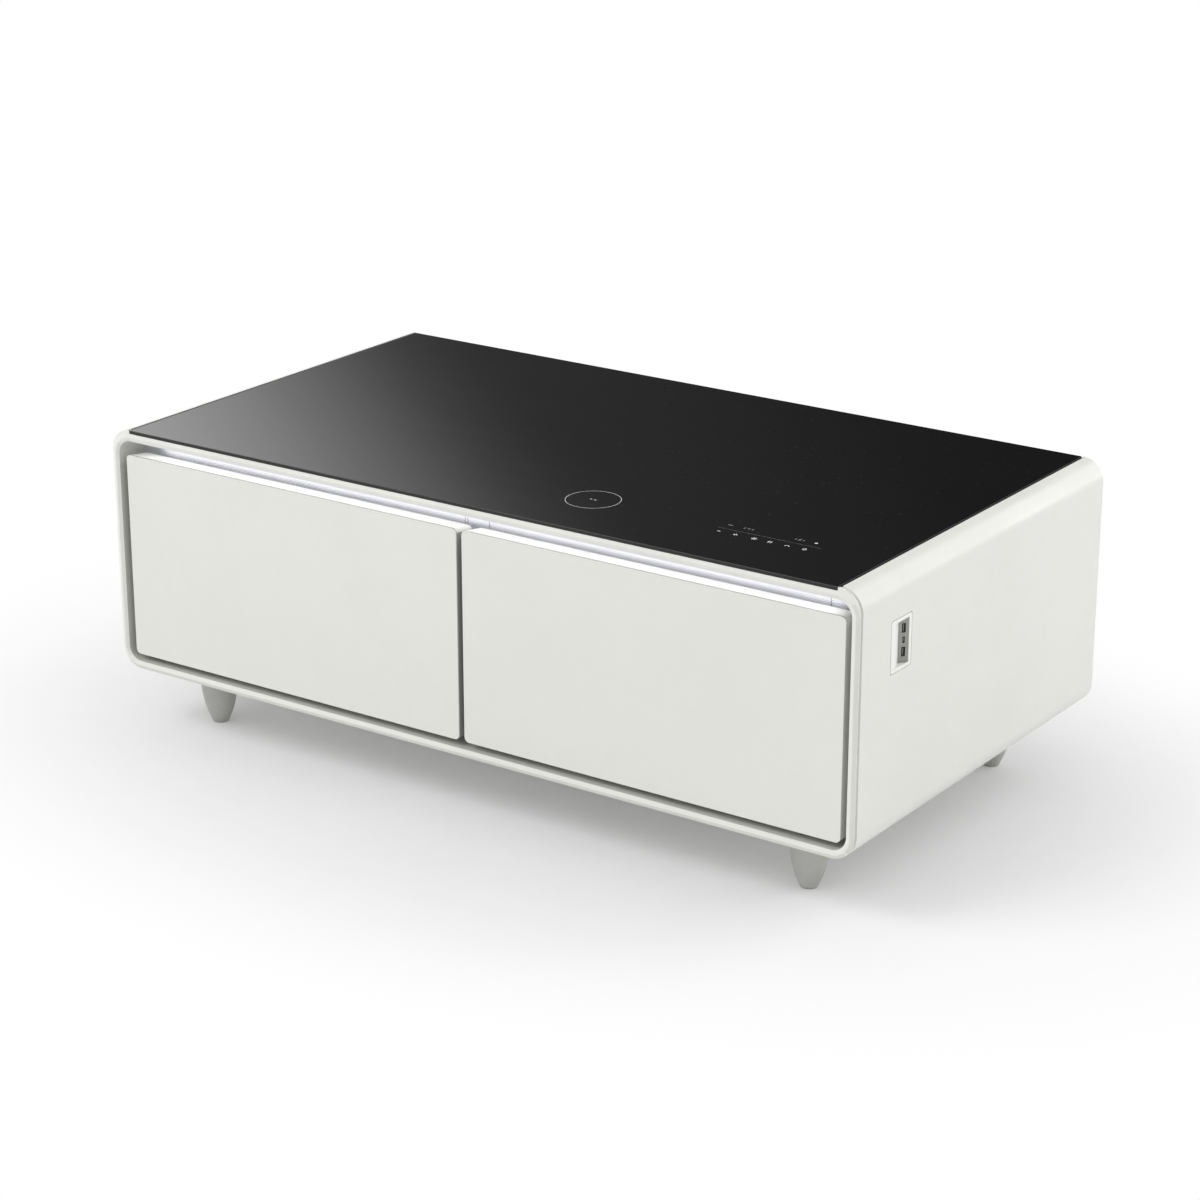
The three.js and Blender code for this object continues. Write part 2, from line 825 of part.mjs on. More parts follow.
// Outlet. The socket plate is set across the wedge-shaped recess, from its deepest edge up to
// the casing's face, so the plan of both is drawn from the same corners.
function recessCorners() {
  const nearY = atDepth(outletFromFront) + outletBorder;
  const farY = atDepth(outletFromFront) + outletWidth - outletBorder;
  return {
    near: new THREE.Vector2(halfWidth, nearY),
    deep: new THREE.Vector2(halfWidth - recessDepth, nearY + recessRamp),
    far: new THREE.Vector2(halfWidth, farY),
  };
}

function socketAxes() {
  const { deep, far } = recessCorners();
  const along = far.clone().sub(deep).normalize();
  const outward = new THREE.Vector2(along.y, -along.x);
  return { along, outward, middle: deep.clone().add(far).divideScalar(2), span: far.distanceTo(deep) };
}

// A slab in the socket plate's own directions: half its span along the plate, and two distances
// along the plate's outward direction
function socketPlan(halfSpan, inner, outer) {
  const { along, outward, middle } = socketAxes();
  const at = (a, b) => middle.clone().addScaledVector(along, a).addScaledVector(outward, b);
  return [at(-halfSpan, inner), at(-halfSpan, outer), at(halfSpan, outer), at(halfSpan, inner)].reverse();
}

function recessLow() {
  return outletLow + outletBorderTop;
}

function recessHigh() {
  return outletLow + outletHeight - outletBorderTop;
}

function outletFrame() {
  const { near, deep, far } = recessCorners();
  const front = atDepth(outletFromFront);
  const housing = block(
    halfWidth - outletDepth, halfWidth, front, front + outletWidth, outletLow, outletLow + outletHeight,
  );
  const mouth = [
    deep, new THREE.Vector2(far.x, far.y), new THREE.Vector2(far.x + overrun, far.y),
    new THREE.Vector2(near.x + overrun, near.y), near,
  ];
  const wedge = solid(drawnUp(mouth.reverse(), recessLow(), recessHigh()));
  const { span } = socketAxes();
  const pocketPlan = socketPlan(span / 2, -socketPlateThickness - fitGap, fitGap);
  const pocket = solid(drawnUp(pocketPlan, recessLow(), recessHigh()));
  return cut(housing, [wedge, pocket]);
}

function socketSlots() {
  const middleZ = (recessLow() + recessHigh()) / 2;
  const slots = [
    [middleZ + socketPitch, socketAWidth, socketAHeight],
    [middleZ, socketCWidth, socketCHeight],
    [middleZ - socketPitch, socketAWidth, socketAHeight],
  ];
  return slots.map(([z, width, height]) => {
    const slotPlan = socketPlan(width / 2, -socketSlotDepth, overrun);
    const slot = solid(drawnUp(slotPlan, z - height / 2, z + height / 2));
    const tongueHeight = height - socketTongue * 2;
    const tonguePlan = socketPlan(socketTongue / 2, -socketSlotDepth - overrun, -overrun);
    const tongue = solid(drawnUp(tonguePlan, z - tongueHeight / 2, z + tongueHeight / 2));
    return slot.subtract(tongue);
  });
}

function usbModule() {
  const { span } = socketAxes();
  const plan = socketPlan(span / 2 - fitGap, -socketPlateThickness, 0);
  const plate = solid(drawnUp(plan, recessLow() + fitGap, recessHigh() - fitGap));
  return cut(plate, socketSlots());
}

// Machine bay
function compressorBody() {
  const low = spigotLow + compressorFootThickness;
  const shoulder = low + compressorHeight - compressorDome;
  const dome = Array.from({ length: domeSteps }, (_, step) => {
    const angle = ((step + 1) / domeSteps) * quarterTurn;
    return [compressorRadius * Math.cos(angle), shoulder + compressorDome * Math.sin(angle)];
  });
  dome[domeSteps - 1][0] = 0;
  const profile = [
    [0, spigotLow],
    [compressorRadius - compressorFootThickness, spigotLow],
    [compressorRadius, low],
    [compressorRadius, shoulder],
    ...dome,
  ];
  return moved(solid(turned(profile, roundSegments)), compressorX, bayMiddle, 0);
}

function stubHeight() {
  return spigotLow + compressorStubHeightShare * compressorHeight;
}

function compressor() {
  const foot = block(
    compressorX - compressorFootWidth / 2, compressorX + compressorFootWidth / 2,
    bayMiddle - compressorFootDepth / 2, bayMiddle + compressorFootDepth / 2,
    spigotLow, spigotLow + compressorFootThickness,
  );
  const left = compressorX - compressorRadius - stubLength;
  const right = compressorX + compressorRadius + stubLength;
  const stubs = barAlongX(left, right, bayMiddle, stubHeight(), stubRadius);
  return joined([compressorBody(), foot, stubs]);
}

// The fins on one side of the condenser's core, as points in X and Y from left to right
function finEdge(coreY, tipY) {
  const left = condenserX - condenserWidth / 2;
  const step = (condenserWidth - finThickness) / (finCount - 1);
  return Array.from({ length: finCount }, (_, fin) => {
    const near = left + fin * step;
    const far = near + finThickness;
    return [[near, coreY], [near, tipY], [far, tipY], [far, coreY]];
  }).flat().map(([x, y]) => new THREE.Vector2(x, y));
}

// A finned block with an inlet stub on its right side
function condenser() {
  const middleY = (condenserFront + condenserBack) / 2;
  const coreFront = middleY - condenserCore / 2;
  const coreBack = middleY + condenserCore / 2;
  const outline = [
    ...finEdge(coreFront, condenserFront),
    ...finEdge(coreBack, condenserBack).reverse(),
  ];
  const fins = solid(drawnUp(outline, spigotLow, spigotLow + condenserHeight));
  const right = condenserX + condenserWidth / 2;
  const z = spigotLow + condenserStubHeightShare * condenserHeight;
  const stub = barAlongX(right - finThickness, right + stubLength, middleY, z, condenserCore / 2);
  return fins.add(stub);
}

function pipe(points) {
  const [start, afterStart, handleA, handleB, beforeEnd, end] = points.map((p) => new THREE.Vector3(...p));
  const route = new THREE.CurvePath();
  route.add(new THREE.LineCurve3(start, afterStart));
  route.add(new THREE.CubicBezierCurve3(afterStart, handleA, handleB, beforeEnd));
  route.add(new THREE.LineCurve3(beforeEnd, end));
  const section = new THREE.Shape(circleOutline(0, 0, pipeRadius, pipeSegments));
  const options = { extrudePath: route, steps: pipeSteps, bevelEnabled: false };
  return solid(new THREE.ExtrudeGeometry(section, options));
}

function dischargePipe() {
  const fromX = compressorX - compressorRadius - stubLength - fitGap;
  const toX = condenserX + condenserWidth / 2 + stubLength + fitGap;
  const toY = (condenserFront + condenserBack) / 2;
  const toZ = spigotLow + condenserStubHeightShare * condenserHeight;
  const z = stubHeight();
  return pipe([
    [fromX, bayMiddle, z],
    [fromX - pipeStraight, bayMiddle, z],
    [fromX - pipeStraight - pipeBend, bayMiddle, z],
    [toX + pipeStraight + pipeBend, toY, toZ],
    [toX + pipeStraight, toY, toZ],
    [toX, toY, toZ],
  ]);
}

function suctionPipe() {
  const toX = compressorX + compressorRadius + stubLength + fitGap;
  const fromX = compressorX + suctionOutletOffsetShare * compressorRadius;
  const fromY = bulkheadBack + fitGap;
  const fromZ = spigotLow + suctionOutletHeightShare * (spigotHigh - spigotLow);
  const z = stubHeight();
  return pipe([
    [fromX, fromY, fromZ],
    [fromX, fromY + pipeStraight, fromZ],
    [fromX, fromY + pipeStraight + pipeBend, fromZ],
    [toX + pipeStraight + pipeBend, bayMiddle, z],
    [toX + pipeStraight, bayMiddle, z],
    [toX, bayMiddle, z],
  ]);
}

function fanFrame() {
  const half = fanSize / 2;
  const outline = roundedOutline(
    condenserX - half, condenserX + half, fanZ - half, fanZ + half, fanStrutDepth, smallCornerSteps,
  );
  const bore = circleOutline(condenserX, fanZ, fanBoreRadius, roundSegments);
  const ring = solid(drawnBack(outline, fanFront, fanBack, [bore]));
  const reach = (half + fanBoreRadius) / 2;
  const strut = fanStrutWidth / 2;
  const arm = (halfX, halfZ) => block(
    condenserX - halfX, condenserX + halfX, fanBack - fanStrutDepth, fanBack, fanZ - halfZ, fanZ + halfZ,
  );
  const across = arm(reach, strut);
  const upright = arm(strut, reach);
  const boss = circleOutline(condenserX, fanZ, fanBossRadius, roundSegments);
  return joined([ring, across, upright, solid(drawnBack(boss, fanBack - fanBossDepth, fanBack))]);
}

function fanRotor() {
  const hubBack = fanBack - fanBossDepth - fitGap;
  const hubFront = fanFront + fanHubRecess;
  const bladeTip = fanBoreRadius - fanTipGap;
  const middle = (hubFront + hubBack) / 2;
  const hub = solid(drawnBack(circleOutline(0, 0, fanHubRadius, roundSegments), hubFront, hubBack));
  const root = fanHubRadius - fanBladeThickness;
  const blades = Array.from({ length: fanBlades }, (_, count) => {
    const blade = new THREE.BoxGeometry(bladeTip - root, fanBladeThickness, fanBladeChord);
    blade.translate((bladeTip + root) / 2, 0, 0);
    blade.rotateX(fanBladePitch);
    blade.rotateY((count / fanBlades) * 4 * quarterTurn);
    blade.translate(0, middle, 0);
    return solid(blade);
  });
  const wheel = joined([hub, ...blades]);
  const slice = solid(drawnBack(circleOutline(0, 0, bladeTip, roundSegments), hubFront, hubBack));
  return moved(wheel.intersect(slice), condenserX, 0, fanZ);
}

function controlBoard() {
  const x = controlBoardX;
  const low = spigotLow + standoffHeight;
  const high = low + boardThickness;
  const halfX = controlBoardWidth / 2;
  const halfY = controlBoardDepth / 2;
  const board = block(x - halfX, x + halfX, bayMiddle - halfY, bayMiddle + halfY, low, high);
  const feet = [[-1, -1], [1, -1], [-1, 1], [1, 1]].map(([sx, sy]) => {
    const footX = x + sx * (halfX - standoffSize);
    const footY = bayMiddle + sy * (halfY - standoffSize);
    const reach = standoffSize / 2;
    return block(footX - reach, footX + reach, footY - reach, footY + reach, spigotLow, high);
  });
  const coreX = x + boardPartShares.transformer * controlBoardWidth;
  const coreHalf = transformerSize / 2;
  const transformer = block(
    coreX - coreHalf, coreX + coreHalf, bayMiddle - coreHalf, bayMiddle + coreHalf,
    low, high + transformerSize,
  );
  const rows = [-boardRowShare, boardRowShare].map((share) => bayMiddle + share * controlBoardDepth);
  const capacitors = boardPartShares.capacitors.flatMap((share) => rows.map((y) => {
    const plan = circleOutline(x + share * controlBoardWidth, y, capacitorRadius, smallRoundSegments);
    return solid(drawnUp(plan, low, high + capacitorHeight));
  }));
  const relays = boardPartShares.relays.flatMap((share) => rows.map((y) => {
    const centre = x + share * controlBoardWidth;
    const reach = relaySize / 2;
    return block(centre - reach, centre + reach, y - reach, y + reach, low, high + relaySize);
  }));
  return joined([board, ...feet, transformer, ...capacitors, ...relays]);
}

function powerInlet() {
  const flangeBack = rearPanelBack + fitGap + inletFlangeThickness;
  const bodyFront = flangeBack - inletDepth;
  const around = (width, height, front, back) => block(
    inletX - width / 2, inletX + width / 2, front, back, inletZ - height / 2, inletZ + height / 2,
  );
  const body = around(inletWidth, inletHeight, bodyFront, flangeBack);
  const flangeWidth = inletWidth + 2 * inletFlangeSide;
  const flangeHeight = inletHeight + 2 * inletFlangeTop;
  const flange = around(flangeWidth, flangeHeight, rearPanelBack + fitGap, flangeBack);
  const cavityFront = bodyFront + inletFloor;
  const cavityWidth = inletWidth - 2 * inletWall;
  const cavityHeight = inletHeight - 2 * inletWall;
  const cavity = around(cavityWidth, cavityHeight, cavityFront, flangeBack + overrun);
  const pinFront = cavityFront - overrun;
  const pinBack = cavityFront + inletPinLength;
  const halfPinX = inletPinWidth / 2;
  const halfPinZ = inletPinHeight / 2;
  const pins = [[-1, inletLineShare], [1, inletLineShare], [0, inletEarthShare]].map(([side, share]) => {
    const x = inletX + side * inletPinPitch / 2;
    const z = inletZ + share * cavityHeight;
    return block(x - halfPinX, x + halfPinX, pinFront, pinBack, z - halfPinZ, z + halfPinZ);
  });
  return joined([cut(body.add(flange), [cavity]), ...pins]);
}

// Drawers. Each is drawn about its own middle and placed by its group.
function frontOutline(inset) {
  return roundedOutline(
    -frontHalf + inset, frontHalf - inset, frontLow + inset, frontHigh - inset,
    frontCornerRadius - inset, smallCornerSteps,
  );
}

// Lowers the top of a drawer front towards its back, so that the top face falls away from the
// front edge
function withFallingTop(geometry) {
  const position = geometry.attributes.position;
  for (let i = 0; i < position.count; i += 1) {
    const depth = (position.getY(i) - atDepth(frontRecess)) / frontDepth;
    const height = (position.getZ(i) - frontLow) / (frontHigh - frontLow);
    position.setZ(i, position.getZ(i) - frontTopFall * depth * height);
  }
  return geometry;
}

function frontPlate() {
  const front = atDepth(frontRecess);
  return solid(withFallingTop(drawnBack(frontOutline(0), front, front + frontPlateThickness)));
}

function panFront() {
  return atDepth(frontRecess) + frontPlateThickness + fitGap;
}

function frontPan() {
  const back = atDepth(frontBack);
  const outside = solid(withFallingTop(drawnBack(frontOutline(0), panFront(), back)));
  const inner = frontOutline(frontPanWall);
  const hollow = solid(withFallingTop(drawnBack(inner, panFront() + frontPanWall, back + overrun)));
  return outside.subtract(hollow);
}

function frontInsulation() {
  const outline = frontOutline(frontPanWall + fitGap);
  return solid(withFallingTop(drawnBack(outline, panFront() + frontPanWall + fitGap, atDepth(frontBack))));
}

function frontInnerPanel() {
  const outline = roundedOutline(
    -frontHalf + innerPanelInset, frontHalf - innerPanelInset,
    frontLow + innerPanelInset, frontHigh - frontTopFall - innerPanelInset,
    frontCornerRadius - innerPanelInset, smallCornerSteps,
  );
  return solid(drawnBack(outline, atDepth(frontBack) + fitGap, atDepth(innerPanelBack)));
}

function gasket() {
  const around = (reach) => roundedOutline(
    -compartmentHalf - reach, compartmentHalf + reach, compartmentLow - reach, compartmentHigh + reach,
    reach, smallCornerSteps,
  );
  const front = atDepth(innerPanelBack) + fitGap;
  const back = atDepth(faceDepth) - fitGap;
  return solid(drawnBack(around(gasketLap + gasketWidth), front, back, [around(gasketLap)]));
}

const runnerTotal = fitGap + runnerSheet + raceGap + runnerFlange + raceGap + runnerSheet;
const boxHalf = compartmentHalf - runnerTotal - fitGap;
const boxLow = compartmentLow + boxFloorGap;
const boxHeight = compartmentHigh - boxTopGap - boxLow;
const boxFrontY = atDepth(innerPanelBack) + fitGap;
const boxBackY = compartmentBackY - boxRearGap;
const runnerFrontY = atDepth(runnerSetback);
const runnerBackY = compartmentBackY - runnerRearGap;
const runnerZ = boxLow + runnerHeightShare * boxHeight;

function drawerBox() {
  const outside = roundedOutline(
    -boxHalf, boxHalf, boxFrontY, boxBackY, boxCornerRadius, smallCornerSteps,
  );
  const inside = roundedOutline(
    -boxHalf + boxWall, boxHalf - boxWall, boxFrontY + boxWall, boxBackY - boxWall,
    boxCornerRadius - boxWall, smallCornerSteps,
  );
  const tub = solid(drawnUp(outside, boxLow, boxLow + boxHeight));
  return tub.subtract(solid(drawnUp(inside, boxLow + boxFloor, boxLow + boxHeight + overrun)));
}

// A channel section of a runner, between two distances from the liner wall. The web is on the
// liner's side, or on the drawer's side where the channel opens the other way.
function runnerChannel(side, nearWall, farWall, halfHeight, webOnLiner) {
  const at = (distance) => side * (compartmentHalf - distance);
  const web = webOnLiner ? nearWall : farWall;
  const lip = webOnLiner ? farWall : nearWall;
  const webInner = webOnLiner ? nearWall + runnerSheet : farWall - runnerSheet;
  const innerHeight = halfHeight - runnerSheet;
  const outline = [
    [web, -halfHeight],
    [lip, -halfHeight],
    [lip, -innerHeight],
    [webInner, -innerHeight],
    [webInner, innerHeight],
    [lip, innerHeight],
    [lip, halfHeight],
    [web, halfHeight],
  ].map(([distance, height]) => new THREE.Vector2(at(distance), runnerZ + height));
  return solid(drawnBack(outline, runnerFrontY, runnerBackY));
}

function cabinetRunner(side) {
  return runnerChannel(side, fitGap, fitGap + runnerFlange, runnerHeight / 2, true);
}

function middleRunner(side) {
  const near = fitGap + runnerSheet + raceGap;
  const halfHeight = runnerHeight / 2 - runnerSheet - raceGap;
  return runnerChannel(side, near, near + runnerFlange - raceGap, halfHeight, true);
}

function drawerRunner(side) {
  const near = fitGap + 2 * (runnerSheet + raceGap);
  return runnerChannel(side, near, runnerTotal, runnerHeight / 2 - 2 * (runnerSheet + raceGap), false);
}

// The table
const table = new THREE.Group();

const casing = new THREE.Group();
casing.add(piece('outer_shell', outerShell(), white));
casing.add(piece('front_bezel', frontBezel(), ivory));
casing.add(piece('glass_top', glassTop(), blackGlass));
casing.add(piece('rear_panel', rearPanel(), white));
casing.add(piece('left_leg_rail', legRail(-1), steel));
casing.add(piece('right_leg_rail', legRail(1), steel));
const legBody = leg();
legPlaces().forEach(([name, x, y]) => {
  const mesh = piece(name, legBody, legGrey);
  mesh.position.set(x, y, 0);
  casing.add(mesh);
});
table.add(casing);

const coldCabinet = new THREE.Group();
coldCabinet.add(piece('floor_insulation', floorInsulation(), foam));
coldCabinet.add(piece('ceiling_insulation', ceilingInsulation(), foam));
coldCabinet.add(piece('left_side_insulation', sideInsulation(-1), foam));
coldCabinet.add(piece('right_side_insulation', cut(sideInsulation(1), [outletSpace(windowMargin)]), foam));
coldCabinet.add(piece('centre_insulation', centreInsulation(), foam));
coldCabinet.add(piece('rear_insulation', rearInsulation(), foam));
[['left', -1], ['right', 1]].forEach(([name, sign]) => {
  coldCabinet.add(piece(`${name}_liner`, liner(sign), linerWhite));
  coldCabinet.add(piece(`${name}_evaporator`, evaporator(sign), aluminium));
});
table.add(coldCabinet);

const lightAndSound = new THREE.Group();
lightAndSound.add(piece('speaker_grille', speakerGrille(), meshWhite));
lightAndSound.add(piece('led_strip', ledStrip(), lampWhite));
lightAndSound.add(piece('left_speaker', speaker(-speakerOffset), blackPlastic));
lightAndSound.add(piece('right_speaker', speaker(speakerOffset), blackPlastic));
table.add(lightAndSound);

const electronics = new THREE.Group();
electronics.add(piece('wireless_charger', wirelessCharger(), blackPlastic));
electronics.add(piece('touch_board', touchBoard(), boardGreen));
electronics.add(piece('outlet_frame', outletFrame(), ivory));
electronics.add(piece('usb_module', usbModule(), socketGrey));
table.add(electronics);

const machineBay = new THREE.Group();
machineBay.add(piece('compressor', compressor(), blackPaint));
machineBay.add(piece('condenser', condenser(), aluminium));
machineBay.add(piece('discharge_pipe', dischargePipe(), copper));
machineBay.add(piece('suction_pipe', suctionPipe(), copper));
machineBay.add(piece('fan_frame', fanFrame(), blackPlastic));
machineBay.add(piece('fan_rotor', fanRotor(), blackPlastic));
machineBay.add(piece('control_board', controlBoard(), boardGreen));
machineBay.add(piece('power_inlet', powerInlet(), blackPlastic));
table.add(machineBay);

const runnerSides = [['left', -1], ['right', 1]];
[['left', -1], ['right', 1]].forEach(([drawerName, sign]) => {
  const drawer = new THREE.Group();
  drawer.position.set(sign * drawerX, 0, 0);
  drawer.add(piece(`${drawerName}_drawer_plate`, frontPlate(), white));
  drawer.add(piece(`${drawerName}_drawer_pan`, frontPan(), white));
  drawer.add(piece(`${drawerName}_drawer_foam`, frontInsulation(), foam));
  drawer.add(piece(`${drawerName}_drawer_inner_panel`, frontInnerPanel(), linerWhite));
  drawer.add(piece(`${drawerName}_drawer_gasket`, gasket(), rubberGrey));
  drawer.add(piece(`${drawerName}_drawer_box`, drawerBox(), linerWhite));
  runnerSides.forEach(([sideName, side]) => {
    const place = `${drawerName}_drawer_${sideName}`;
    drawer.add(piece(`${place}_cabinet_runner`, cabinetRunner(side), steel));
    drawer.add(piece(`${place}_middle_runner`, middleRunner(side), steel));
    drawer.add(piece(`${place}_box_runner`, drawerRunner(side), steel));
  });
  table.add(drawer);
});

export default table;
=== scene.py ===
"""A low table with two refrigerated drawers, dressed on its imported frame.

Lengths are in metres. X runs to the right, Y to the back and Z up. The origin is on the floor,
under the middle of the casing, as it is in the frame.
"""

import logging
import math
from collections.abc import Callable, Sequence
from dataclasses import dataclass, replace
from enum import Enum

import bmesh
import bpy
from bmesh.types import BMEdge, BMFace, BMVert
from mathutils import Matrix, Vector


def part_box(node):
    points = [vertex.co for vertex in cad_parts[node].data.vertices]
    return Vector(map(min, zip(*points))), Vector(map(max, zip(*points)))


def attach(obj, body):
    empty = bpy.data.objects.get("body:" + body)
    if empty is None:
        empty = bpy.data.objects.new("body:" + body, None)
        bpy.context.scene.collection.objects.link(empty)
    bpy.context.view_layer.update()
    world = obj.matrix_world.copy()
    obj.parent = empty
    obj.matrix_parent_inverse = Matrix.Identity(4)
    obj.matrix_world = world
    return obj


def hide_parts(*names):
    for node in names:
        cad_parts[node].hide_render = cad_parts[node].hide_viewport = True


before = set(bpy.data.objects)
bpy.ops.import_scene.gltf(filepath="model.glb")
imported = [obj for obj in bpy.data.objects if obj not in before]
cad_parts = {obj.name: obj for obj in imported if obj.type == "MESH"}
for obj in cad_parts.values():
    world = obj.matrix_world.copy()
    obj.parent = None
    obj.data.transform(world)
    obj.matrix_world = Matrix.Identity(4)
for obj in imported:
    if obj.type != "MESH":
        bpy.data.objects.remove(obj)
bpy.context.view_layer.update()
log = logging.getLogger("table")

Colour = tuple[float, float, float]
Point = tuple[float, float, float]
Socket = bpy.types.NodeSocket

# The smallest distance that counts, and the parts of a normal from which a face lies square to an
# axis or leans along it.
HAIR = 1e-6
SQUARE = 0.999
LEANING = 0.3

BLACK = (0.0, 0.0, 0.0)
WHITE = (1.0, 1.0, 1.0)


def tone(red: int, green: int, blue: int) -> Colour:
    """Turns a colour from a paint chart to linear light.

    Args:
        red: Red, from 0 to 255.
        green: Green, from 0 to 255.
        blue: Blue, from 0 to 255.

    Returns:
        The three values in linear light.
    """
    shares = [part / 255 for part in (red, green, blue)]
    return tuple(s / 12.92 if s < 0.04045 else ((s + 0.055) / 1.055) ** 2.4 for s in shares)


class Bench:
    """Places and joins the nodes of one shader tree."""

    def __init__(self, tree: bpy.types.NodeTree) -> None:
        """Takes up a tree.

        Args:
            tree: The shader tree to work on.
        """
        self.tree = tree

    def place(self, kind: str, sockets: dict | None = None, **settings: object) -> bpy.types.Node:
        """Places one node and fills its sockets.

        Args:
            kind: The node's type.
            sockets: What goes into each input, a value or another node's output.
            settings: The node's own settings.

        Returns:
            The node.
        """
        node = self.tree.nodes.new(kind)
        for name, value in settings.items():
            setattr(node, name, value)
        for key, value in (sockets or {}).items():
            self.fill(node.inputs[key], value)
        return node

    def fill(self, socket: Socket, value: object) -> None:
        """Links a socket to an output, or sets its value.

        Args:
            socket: The input to fill.
            value: An output, a number or a colour.
        """
        if isinstance(value, Socket):
            self.tree.links.new(value, socket)
        elif socket.type == "RGBA":
            socket.default_value = (*value, 1.0)
        else:
            socket.default_value = value

    def sum(self, operation: str, *terms: object) -> Socket:
        """Does one piece of arithmetic.

        Args:
            operation: The operation's name.
            terms: Its numbers or outputs.

        Returns:
            The result.
        """
        return self.place("ShaderNodeMath", dict(enumerate(terms)), operation=operation).outputs[0]

    def vector(self, operation: str, *terms: object) -> Socket:
        """Does one piece of arithmetic on vectors."""
        kind = "ShaderNodeVectorMath"
        return self.place(kind, dict(enumerate(terms)), operation=operation).outputs[0]

    def length(self, vector: Socket) -> Socket:
        """The length of a vector."""
        return self.place("ShaderNodeVectorMath", {0: vector}, operation="LENGTH").outputs[1]

    def scaled(self, vector: Socket, by: object) -> Socket:
        """A vector or colour made longer or brighter."""
        sockets = {0: vector, 3: by}
        return self.place("ShaderNodeVectorMath", sockets, operation="SCALE").outputs[0]

    def axes(self, vector: Socket) -> Sequence[Socket]:
        """The three parts of a vector."""
        return self.place("ShaderNodeSeparateXYZ", {0: vector}).outputs

    def mix(self, share: object, first: object, second: object) -> Socket:
        """Mixes two colours.

        Args:
            share: How much of the second colour shows.
            first: The first colour.
            second: The second colour.

        Returns:
            The mixed colour.
        """
        node = self.place("ShaderNodeMix", {0: share, 6: first, 7: second}, data_type="RGBA")
        return node.outputs[2]

    def spread(self, value: object, low: float, high: float, start: object, end: object) -> Socket:
        """Maps a band of values smoothly to another band.

        Args:
            value: What is mapped.
            low: The band's low end.
            high: The band's high end.
            start: What the low end becomes.
            end: What the high end becomes.

        Returns:
            The mapped value.
        """
        sockets = {0: value, 1: low, 2: high, 3: start, 4: end}
        node = self.place("ShaderNodeMapRange", sockets, interpolation_type="SMOOTHSTEP")
        return node.outputs[0]

    def noise(self, vector: object, scale: object, detail: float) -> Socket:
        """A cloudy pattern.

        Args:
            vector: Where it is read.
            scale: How many clouds there are to a metre.
            detail: How many finer layers it has.

        Returns:
            The pattern's value.
        """
        sockets = {"Vector": vector, "Scale": scale, "Detail": detail}
        return self.place("ShaderNodeTexNoise", sockets).outputs[0]

    def cells(self, vector: object, scale: object) -> bpy.types.Node:
        """A pattern of cells, as a node with a distance and a colour."""
        return self.place("ShaderNodeTexVoronoi", {"Vector": vector, "Scale": scale})

    def object_place(self) -> Socket:
        """The place on the object, in metres."""
        return self.place("ShaderNodeTexCoord").outputs["Object"]

    def feed(self, **values: object) -> None:
        """Fills sockets of the material's own shader.

        Args:
            values: What goes into each socket. Its name has underscores in place of spaces.
        """
        shader = self.tree.nodes["Principled BSDF"]
        for name, value in values.items():
            self.fill(shader.inputs[name.replace("_", " ")], value)


def new_material(name: str) -> tuple[bpy.types.Material, Bench]:
    """Starts a material.

    Args:
        name: The material's name.

    Returns:
        The material, and the bench for its shader tree.
    """
    made = bpy.data.materials.new(name)
    made.use_nodes = True
    return made, Bench(made.node_tree)


class Effect(Enum):
    """The effects that several finishes share."""

    DRIFT = "Tone drift"
    GRAIN = "Fine grain"
    DUST = "Settled dust"
    LINES = "Drawn lines"
    DOTS = "Staggered dots"


Sockets = dict[str, str]


@dataclass(frozen=True)
class EffectGroup:
    """One shared shader group: its inputs, its outputs and how it is wired."""

    takes: Sockets
    gives: Sockets
    wire: Callable[[Bench, Sequence[Socket]], Sequence[Socket]]

    def tree(self, name: str) -> bpy.types.NodeTree:
        """Makes the group's tree, or finds the one made before.

        Args:
            name: The group's name.

        Returns:
            The group's node tree.
        """
        found = bpy.data.node_groups.get(name)
        if found:
            return found
        tree = bpy.data.node_groups.new(name, "ShaderNodeTree")
        for in_out, sockets in (("INPUT", self.takes), ("OUTPUT", self.gives)):
            for label, kind in sockets.items():
                tree.interface.new_socket(label, in_out=in_out, socket_type=f"NodeSocket{kind}")
        bench = Bench(tree)
        entry = bench.place("NodeGroupInput")
        results = self.wire(bench, entry.outputs)
        bench.place("NodeGroupOutput", dict(enumerate(results)))
        return tree


def wire_drift(bench: Bench, entry: Sequence[Socket]) -> Sequence[Socket]:
    """Drifts slowly between two close tones, with a finer mottle over it.

    Args:
        bench: The group's bench.
        entry: The place, the two tones and the scale.

    Returns:
        The colour.
    """
    broad = bench.noise(entry[0], entry[3], 3.0)
    fine = bench.noise(entry[0], bench.sum("MULTIPLY", entry[3], 9.0), 2.0)
    both = bench.sum("ADD", bench.sum("MULTIPLY", broad, 0.7), bench.sum("MULTIPLY", fine, 0.3))
    return [bench.mix(bench.spread(both, 0.34, 0.66, 0.0, 1.0), entry[1], entry[2])]


def wire_grain(bench: Bench, entry: Sequence[Socket]) -> Sequence[Socket]:
    """Makes a fine leathery grain, and a roughness that drifts with it.

    Args:
        bench: The group's bench.
        entry: The place, the scale and the roughness's two ends.

    Returns:
        The height and the roughness.
    """
    fine = bench.noise(entry[0], entry[1], 3.0)
    pits = bench.cells(entry[0], bench.sum("MULTIPLY", entry[1], 0.6)).outputs[0]
    height = bench.sum("ADD", bench.sum("MULTIPLY", fine, 0.6), bench.sum("MULTIPLY", pits, 0.4))
    broad = bench.noise(entry[0], bench.sum("MULTIPLY", entry[1], 0.02), 2.0)
    return [height, bench.spread(broad, 0.3, 0.7, entry[2], entry[3])]


